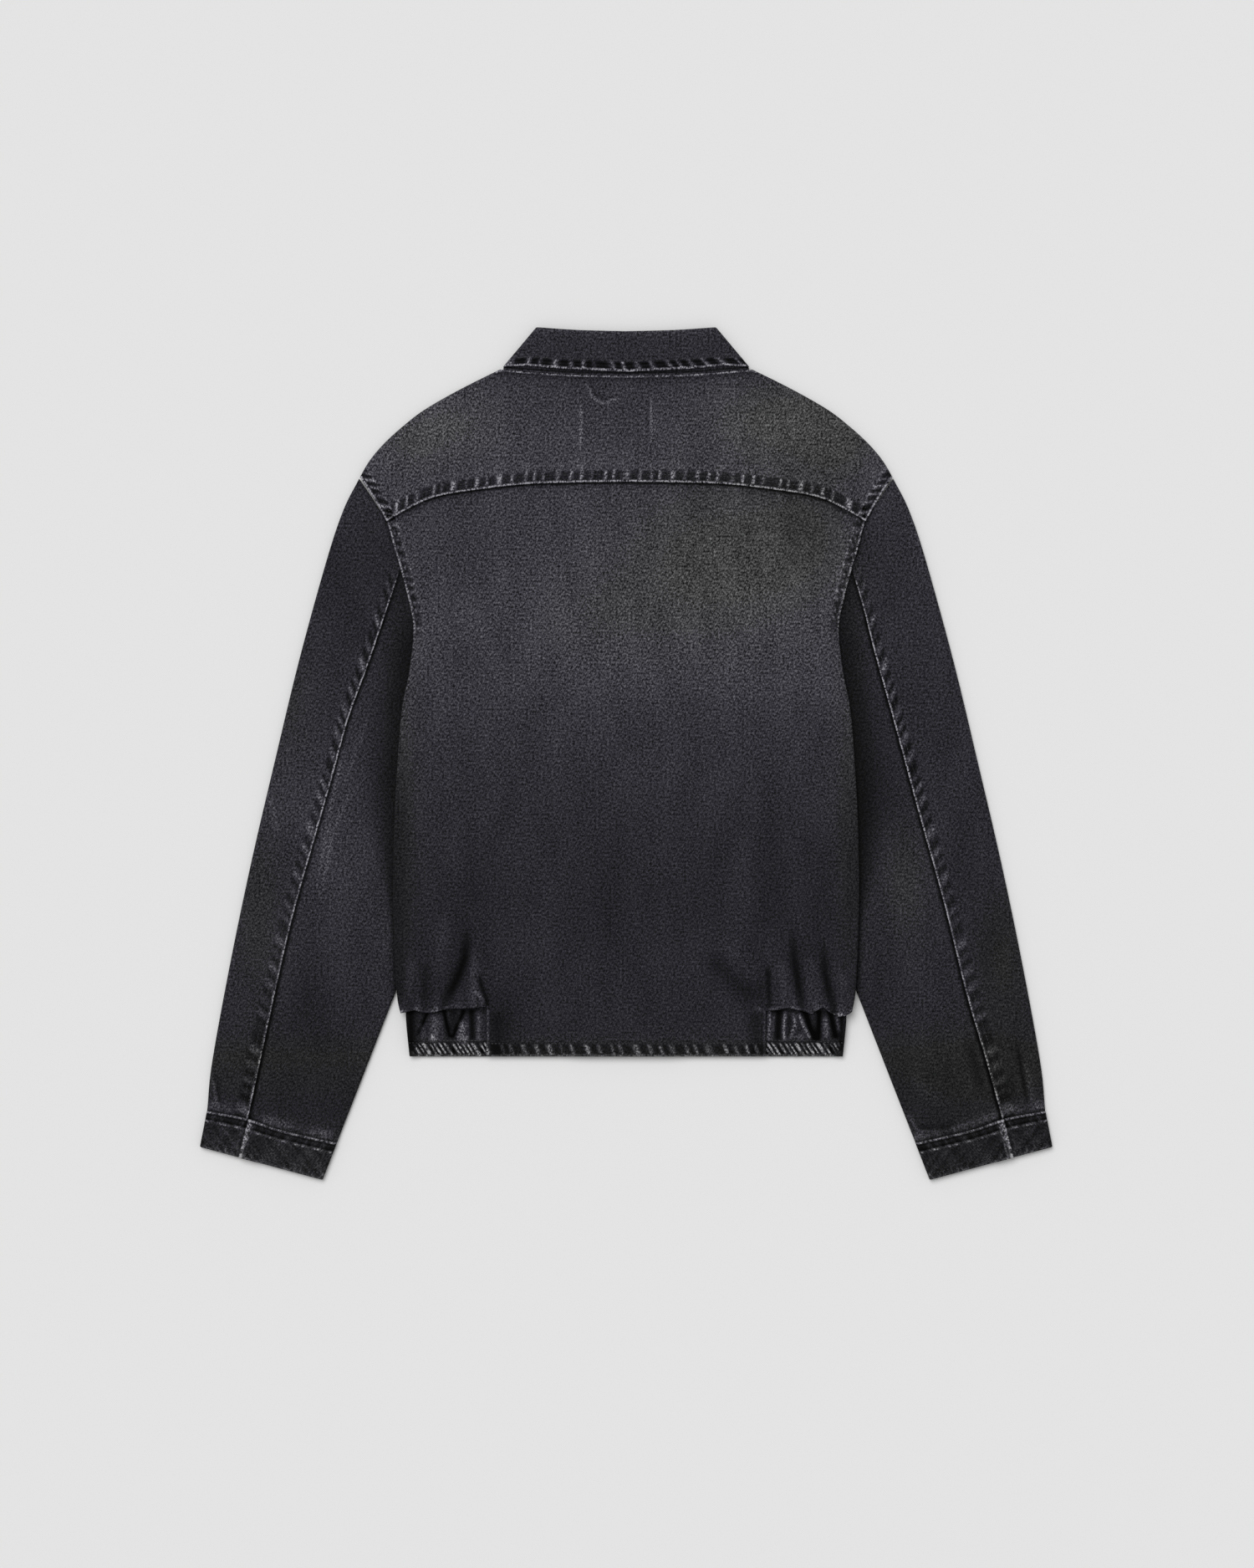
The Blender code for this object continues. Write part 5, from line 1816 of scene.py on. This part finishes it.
@dataclass
class ShankButton:
    """A shank button: a pressed cap with a rolled rim round a shallow, domed middle, face down."""

    number: int
    y: float
    finish: Material
    radius: float = 8.5
    height: float = 2.4
    turns: int = 48

    def build(self) -> Object:
        """Turns the cap's profile, radius and height, round the button's axis.

        Returns:
            The button's object.
        """
        r, h = self.radius, self.height
        middle = [(0.0, h), (2.2, h), (2.4, h - 0.25), (6.2, h - 0.3), (7.7, h - 0.7)]
        rim = [(r - 0.1, 1.25), (r, 0.85), (r - 0.12, 0.4), (r - 0.45, 0.1), (r - 0.9, 0.0)]
        rim += [(r - 1.3, 0.12), (r - 1.6, 0.5), (r - 2.0, 0.62)]
        profile = np.array(middle + rim + [(4.4, 0.5), (2.6, 0.36), (0.0, 0.3)])
        angle = np.arange(self.turns) * 2 * np.pi / self.turns
        ring = profile[1:-1]
        points = np.stack(
            [
                ring[:, None, 0] * np.cos(angle),
                ring[:, None, 0] * np.sin(angle) + self.y,
                np.broadcast_to(ring[:, None, 1], (len(ring), self.turns)),
            ],
            axis=-1,
        ).reshape(-1, 3)
        ends = np.array([(0.0, self.y, profile[0, 1]), (0.0, self.y, profile[-1, 1])])
        index = np.arange(len(ring) * self.turns).reshape(len(ring), self.turns)
        after = np.roll(index, -1, axis=1)
        quads = np.stack([index[:-1], index[1:], after[1:], after[:-1]], axis=2).reshape(-1, 4)
        top, low = len(points), len(points) + 1
        fans = ((index[0], after[0], top), (after[-1], index[-1], low))
        caps = np.concatenate([np.stack(np.broadcast_arrays(*fan), axis=1) for fan in fans])
        mesh = bpy.data.meshes.new(f"cap_{self.number}")
        points = (np.concatenate([points, ends]) * MM).tolist()
        mesh.from_pydata(points, [], quads.tolist() + caps.tolist())
        mesh.polygons.foreach_set("use_smooth", np.ones(len(mesh.polygons), bool))
        button = add(f"cap_{self.number}", mesh, self.finish)
        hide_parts(f"button_{self.number}")
        return button


@dataclass(frozen=True)
class Studio:
    """A plain pale floor, soft light and a camera straight above, as the photograph was taken."""

    centre: tuple[float, float] = (0.0008, -0.0285)
    view_height: float = 1.466
    lens: float = 85.0
    floor_grey: str = "#E7E7E7"
    room: float = 0.5
    power: float = 1.75
    softness: float = 40.0
    slope: float = 33.0
    turn: float = 32.0

    def floor(self) -> None:
        """A wide plane just under the jacket."""
        size = 6.0
        corners = [(-size, -size), (size, -size), (size, size), (-size, size)]
        mesh = bpy.data.meshes.new("floor")
        mesh.from_pydata([(x, y, -0.0004) for x, y in corners], [], [(0, 1, 2, 3)])
        matt = {"Base Color": linear(self.floor_grey), "Roughness": 1.0, "Specular IOR Level": 0.0}
        mesh.materials.append(new_finish("matt_paper", matt)[0])
        sheet = bpy.data.objects.new("floor", mesh)
        bpy.context.scene.collection.objects.link(sheet)

    def light(self) -> None:
        """Even light from all round, and as much again from a wide, far source beyond the collar."""
        world = bpy.data.worlds.new("soft_room")
        world.use_nodes = True
        world.node_tree.nodes["Background"].inputs["Color"].default_value = (1.0, 1.0, 1.0, 1.0)
        world.node_tree.nodes["Background"].inputs["Strength"].default_value = self.room
        bpy.context.scene.world = world
        light = bpy.data.lights.new("wide_softbox", "SUN")
        light.energy, light.angle = self.power, math.radians(self.softness)
        lamp = bpy.data.objects.new("wide_softbox", light)
        lamp.location = (-1.2, 2.0, 3.0)
        lamp.rotation_euler = (math.radians(-self.slope), 0.0, math.radians(self.turn))
        bpy.context.scene.collection.objects.link(lamp)

    def camera(self) -> None:
        """A camera straight above: its distance is the view's height times lens over sensor."""
        lens = bpy.data.cameras.new("camera")
        lens.lens = self.lens
        lens.sensor_width = 36.0
        camera = bpy.data.objects.new("camera", lens)
        camera.location = (*self.centre, self.view_height * self.lens / 36.0 + 0.006)
        bpy.context.scene.collection.objects.link(camera)
        bpy.context.scene.camera = camera


BARE = Wash(
    levels=((-400, 0.75), (-330, 0.2), (-283, 0.8), (-262, 0.25), (-230, 0.1), (400, 0.1)),
    spots=(
        Spot(145, 312, 60, 36, 0.9), Spot(196, 292, 34, 34, 0.8), Spot(-200, 290, 30, 24, 0.4),
        Spot(-160, 308, 46, 30, 0.45), Spot(-345, -150, 26, 90, 0.5), Spot(262, -120, 24, 60, 0.5),
        Spot(330, -300, 60, 40, 0.6), Spot(88, 180, 88, 72, 0.95), Spot(165, 204, 40, 50, 0.6),
        Spot(-20, 130, 60, 40, 0.35), Spot(353, -195, 24, 60, 0.7), Spot(-320, 60, 24, 60, 0.5),
        Spot(-210, -40, 16, 160, 0.5), Spot(210, -40, 16, 160, 0.5),
    ),
)
BODY_WASH = Wash(
    levels=(
        (360, 52), (335, 56), (300, 60), (265, 60), (235, 58), (204, 60), (150, 62), (95, 60), (63, 57),
        (40, 52), (16, 49), (-23, 46), (-62, 43), (-140, 37.5), (-195, 38.5), (-250, 38), (-283, 38),
    ),
    spots=(
        Spot(-163, 310, 55, 34, 9), Spot(145, 312, 62, 36, 8), Spot(-212, 276, 28, 30, 5),
        Spot(200, 290, 30, 34, -1), Spot(172, 205, 32, 45, -10), Spot(0, 95, 60, 34, 3),
        Spot(-163, -195, 34, 34, -5), Spot(165, -195, 34, 34, -5), Spot(-114, -246, 14, 30, -9),
        Spot(122, -226, 10, 26, -6), Spot(150, -75, 42, 60, -3), Spot(122, 165, 95, 75, 4),
        Spot(-150, 185, 60, 55, -5), Spot(-148, 84, 44, 36, -4), Spot(-20, -60, 90, 30, -1.5),
        Spot(0, 330, 60, 22, -4),
    ),
)
FRONT_WASH = Wash(((360, 50), (200, 56), (60, 52), (-120, 42), (-283, 40)))
COLLAR_WASH = Wash(((400, 46), (380, 44), (355, 42), (240, 46)))
BAND_WASH = Wash(((-232, 34), (-283, 36)))
SLEEVE_WASH = {
    Side.LEFT: Wash(
        levels=(
            (260, 46), (170, 37.5), (40, 44), (-80, 46), (-195, 43), (-240, 40), (-330, 32),
            (-400, 37.5),
        ),
        spots=(
            Spot(-272, -78, 26, 70, 6), Spot(-300, -30, 30, 90, 4), Spot(-296, -234, 26, 50, -6),
        ),
    ),
    Side.RIGHT: Wash(
        levels=(
            (260, 47), (170, 42), (40, 42), (-80, 41), (-195, 38), (-240, 36), (-330, 31), (-400, 29.5),
        ),
        spots=(
            Spot(236, -40, 26, 80, -6), Spot(272, 190, 20, 50, 5), Spot(262, -130, 26, 60, 8),
            Spot(350, -160, 26, 60, -3), Spot(290, -234, 26, 40, 5),
        ),
    ),
}
# The marks of each piece. Creases and gathered folds get painted shade in their troughs and painted light on
# their ridges; the yoke's pale lines are wear.
BACK_MARKS = (
    Mark(((-147, -150), (-150.9, -192), (-159.5, -214.3), (-180, -254)), 4.8, -1.8, -31, 0.42),
    Mark(((-142, -180), (-141, -240)), 4.6, 1.2, 13, 0.22),
    Mark(((-138.5, -206), (-134, -222), (-128.6, -243)), 2.4, -1.3, -25, 0.15),
    Mark(((-141.7, -221), (-136.6, -229), (-132.4, -239)), 1.7, 0.7, 32, 0.25),
    Mark(((-186, -190), (-190, -240)), 5, -1.2, -11),
    Mark(((-168, -150), (-176, -218)), 6, 0.9, 7),
    Mark(((-201, -184), (-203, -238)), 4.5, 0.9, 8),
    Mark(((154, -150), (157.5, -194), (161.5, -218), (170.5, -262)), 4, -1.7, -24, 0.45),
    Mark(((182.5, -164), (186, -206), (200, -262)), 4, -1.7, -24, 0.45),
    Mark(((132.4, -196), (134.5, -244)), 2.8, -1.4, -21, 0.18),
    Mark(((144, -190), (149, -244)), 4.6, 1, 11, 0.2),
    Mark(((172, -185), (175, -246)), 5.4, 1, 10, 0.2),
    Mark(((200, -200), (203, -248)), 4.6, 0.9, 10, 0.2),
    Mark(((71.9, -182), (100, -214), (130, -236)), 10, -1.2, -12),
    Mark(((82, -168), (112, -200), (132, -216)), 9, 0.8, 5),
    Mark(((134, -30), (134, -190)), 12, -0.8, -4),
    Mark(((-138, -60), (-140, -160)), 14, -0.7, -3),
    Mark(((-19, -60), (-19, -200)), 18, -0.6, -3),
    Mark(((79, -60), (79, -170)), 14, -0.6, -3),
    Mark(((185, -70), (186, -180)), 11, -0.7, -4),
    Mark(((108, -60), (108, -190)), 12, 0.5, 3),
    Mark(((-80, -80), (-84, -200)), 20, 0.4, 2),
)
YOKE_MARKS = (
    Mark(((-41.4, 334), (-42.6, 282)), 1.3, 0.2, 30),
    Mark(((-38.6, 332), (-39.4, 290)), 1.6, -0.2, -9),
    Mark(((23.5, 338), (23.2, 286)), 1.3, 0.2, 27),
    Mark(((20.6, 336), (20.4, 292)), 1.6, -0.2, -8),
    Mark(((-39.1, 350), (-32.1, 333.9), (-23.5, 327.7), (-14.1, 329.2), (-3.9, 333.5)), 1.4, 0.2, 32, 0.2),
    Mark(((-36, 350), (-30, 337), (-22.5, 331.2), (-14.1, 332.4)), 1.8, -0.2, -12, 0.2),
    Mark(((-9, 312), (-9, 280)), 26, 0, -4),
)
FRONT_MARKS = (
    Mark(((-120, -60), (-150, -230)), 12, 1.2, -3),
    Mark(((150, -80), (165, -232)), 12, 1.2, -3),
    Mark(((90, -100), (110, -225)), 14, 0.9, -2),
    Mark(((-90, 20), (-110, -160)), 16, 0.8, -2),
    Mark(((180, 120), (100, 40)), 16, 0.9, -2),
    Mark(((-180, 110), (-105, 20)), 16, 0.9, -2),
)
SLEEVE_MARKS = {
    Side.LEFT: (
        Mark(((-262, 30), (-268, -10), (-278, -60), (-293.3, -143.1)), 1.5, 0.5, 20),
        Mark(((-244.3, -20.8), (-262, -44), (-274, -72), (-289.4, -150.5)), 1.5, 0.5, 20),
        Mark(((-239, 40), (-256, -6), (-262, -36)), 1.8, 0.4, 13),
        Mark(((-338, -30), (-330, -52), (-324, -84)), 1.8, 0.4, 14),
        Mark(((-387.6, -300), (-382.6, -331)), 1.5, 0.6, 28, 0.25),
        Mark(((-384.4, -296), (-379, -334)), 2.4, -1, -11, 0.2),
        Mark(((-352, -300), (-357, -333)), 3.5, -0.6, -5),
        Mark(((-300, -60), (-330, -160)), 14, -0.7, -2),
    ),
    Side.RIGHT: (
        Mark(((265.1, 230.7), (290.1, 152.5)), 6, 0.4, 6),
        Mark(((364, -262), (369.9, -296), (377.2, -334)), 2.5, -1.2, -17, 0.35),
        Mark(((372, -284), (382.6, -334)), 3, 0.8, 14),
        Mark(((267, -348), (290, -351), (316, -344)), 2.2, -0.8, -15, 0.2),
        Mark(((263, -336), (274.5, -355)), 1.8, 0.4, 24, 0.2),
        Mark(((318, -262), (329, -300), (334, -322)), 4.5, -0.7, -11),
        Mark(((262, -296), (284, -318), (300, -338)), 6, 0.5, 7),
        Mark(((360, -290), (362, -330)), 3.5, -0.6, -6),
        Mark(((300, -40), (335, -150)), 14, -0.7, -2),
    ),
}
BAND_MARKS = {
    Side.LEFT: (
        Mark(((-184.6, -238), (-194.7, -264)), 1.9, -1.2, -39, 0.12),
        Mark(((-171.3, -238), (-164.6, -268)), 2, -1.2, -42, 0.12),
        Mark(((-150.9, -238), (-163.2, -268)), 2, -1.2, -42, 0.12),
        Mark(((-177.5, -243), (-180.5, -273)), 4.8, 1.2, 32, 0.22),
        Mark(((-184, -262), (-176, -271)), 1.6, 0.4, 34),
        Mark(((-161.5, -239), (-163.8, -262)), 4.4, -0.4, -12, 0.2),
        Mark(((-152, -248), (-156, -273)), 4, 1.2, 44, 0.22),
        Mark(((-149.5, -262), (-151, -274)), 2, 0.4, 40),
        Mark(((-144.9, -238), (-144, -270)), 2.6, -1.2, -24, 0.12),
        Mark(((-137.8, -240), (-137.6, -270)), 1.8, 1, 30, 0.12),
        Mark(((-201, -238), (-201, -280)), 4.5, -0.8, -21, 0.1),
        Mark(((-192, -252), (-190, -268)), 2.6, 0.8, 21, 0.2),
    ),
    Side.RIGHT: (
        Mark(((133.6, -238), (134.6, -250), (133.2, -270)), 1.1, 0.8, 46, 0.12),
        Mark(((139.2, -240), (137.6, -256), (135.6, -270)), 1.2, 0.8, 26, 0.2),
        Mark(((143.3, -238), (142.3, -270)), 4, -1.2, -27, 0.12),
        Mark(((149.4, -240), (147.4, -254), (147.8, -270)), 1.3, 1, 62, 0.12),
        Mark(((156.6, -242), (158, -254), (153, -268)), 1.3, 1, 58, 0.12),
        Mark(((152.8, -242), (152.6, -268)), 1.8, -0.8, -18, 0.15),
        Mark(((161.2, -242), (166, -255), (173, -268)), 1.4, 1.1, 56, 0.15),
        Mark(((161, -262), (164, -270)), 3.6, 0.6, 34),
        Mark(((164.5, -234), (177.3, -270)), 3, -1.6, -44, 0.1),
        Mark(((181.2, -239), (179.4, -270)), 2.8, -1.4, -40, 0.1),
        Mark(((186.4, -244), (187.4, -268)), 2.2, 1.1, 40, 0.25),
        Mark(((190, -238), (196.5, -268)), 2.8, -1.4, -40, 0.12),
        Mark(((196.6, -243), (199.5, -262)), 1.2, 0.8, 34, 0.2),
        Mark(((202, -240), (201, -280)), 2.6, -0.8, -21, 0.1),
    ),
}


@dataclass
class Jacket:
    lay: Lay
    denim: Material
    metal: Material
    stitches: Stitches
    button_ys: Sequence[float] = (250.0, 147.6, 45.2, -57.2, -159.6, -262.0)

    def sheets(self) -> list[Sheet]:
        """Every cut piece of cloth, from the yoke to the bands.

        Returns:
            The sheets.
        """
        lay, sew = self.lay, self.stitches
        made = [
            Yoke(lay, BODY_WASH, YOKE_MARKS, sew).build(),
            BackPanel(lay, BODY_WASH, BACK_MARKS, sew).build(),
            Front(lay, FRONT_WASH, FRONT_MARKS, sew, Side.LEFT, 0).build(),
            Front(lay, FRONT_WASH, FRONT_MARKS, sew, Side.RIGHT, 1).build(),
        ]
        collar = Collar(lay, COLLAR_WASH, (), sew)
        made += [collar.fall(), collar.stand()]
        for side in Side:
            sleeve = Sleeve(lay, SLEEVE_WASH[side], SLEEVE_MARKS[side], sew, side)
            made += [sleeve.top_sheet(), sleeve.under_sheet()]
            made.append(Cuff(lay, SLEEVE_WASH[side], (), sew, side).build())
            made.append(HemBand(lay, BAND_WASH, BAND_MARKS[side], sew, side).build())
        return made

    def build(self) -> None:
        """Puts the sheets, then the stitches on them, then the buttons into the scene."""
        for sheet in self.sheets():
            piece = add(f"cloth_{sheet.name}", sheet.mesh(), self.denim)
            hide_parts(sheet.name)
        sewn = self.stitches.build()
        for number, y in enumerate(self.button_ys, 1):
            ShankButton(number, y, self.metal).build()


def main() -> None:
    """Builds the studio and the jacket."""
    logging.basicConfig(level=logging.INFO, format="%(name)s: %(message)s")
    bpy.context.scene.view_settings.view_transform = "Standard"
    studio = Studio()
    studio.floor()
    studio.light()
    studio.camera()
    denim = WashedDenim().material("washed_denim_twill")
    metal = AgedBrass().material("aged_brass")
    thread = SewingThread().material("core_spun_thread")
    Jacket(Lay(), denim, metal, Stitches(thread)).build()


if __name__ == "__main__":
    main()
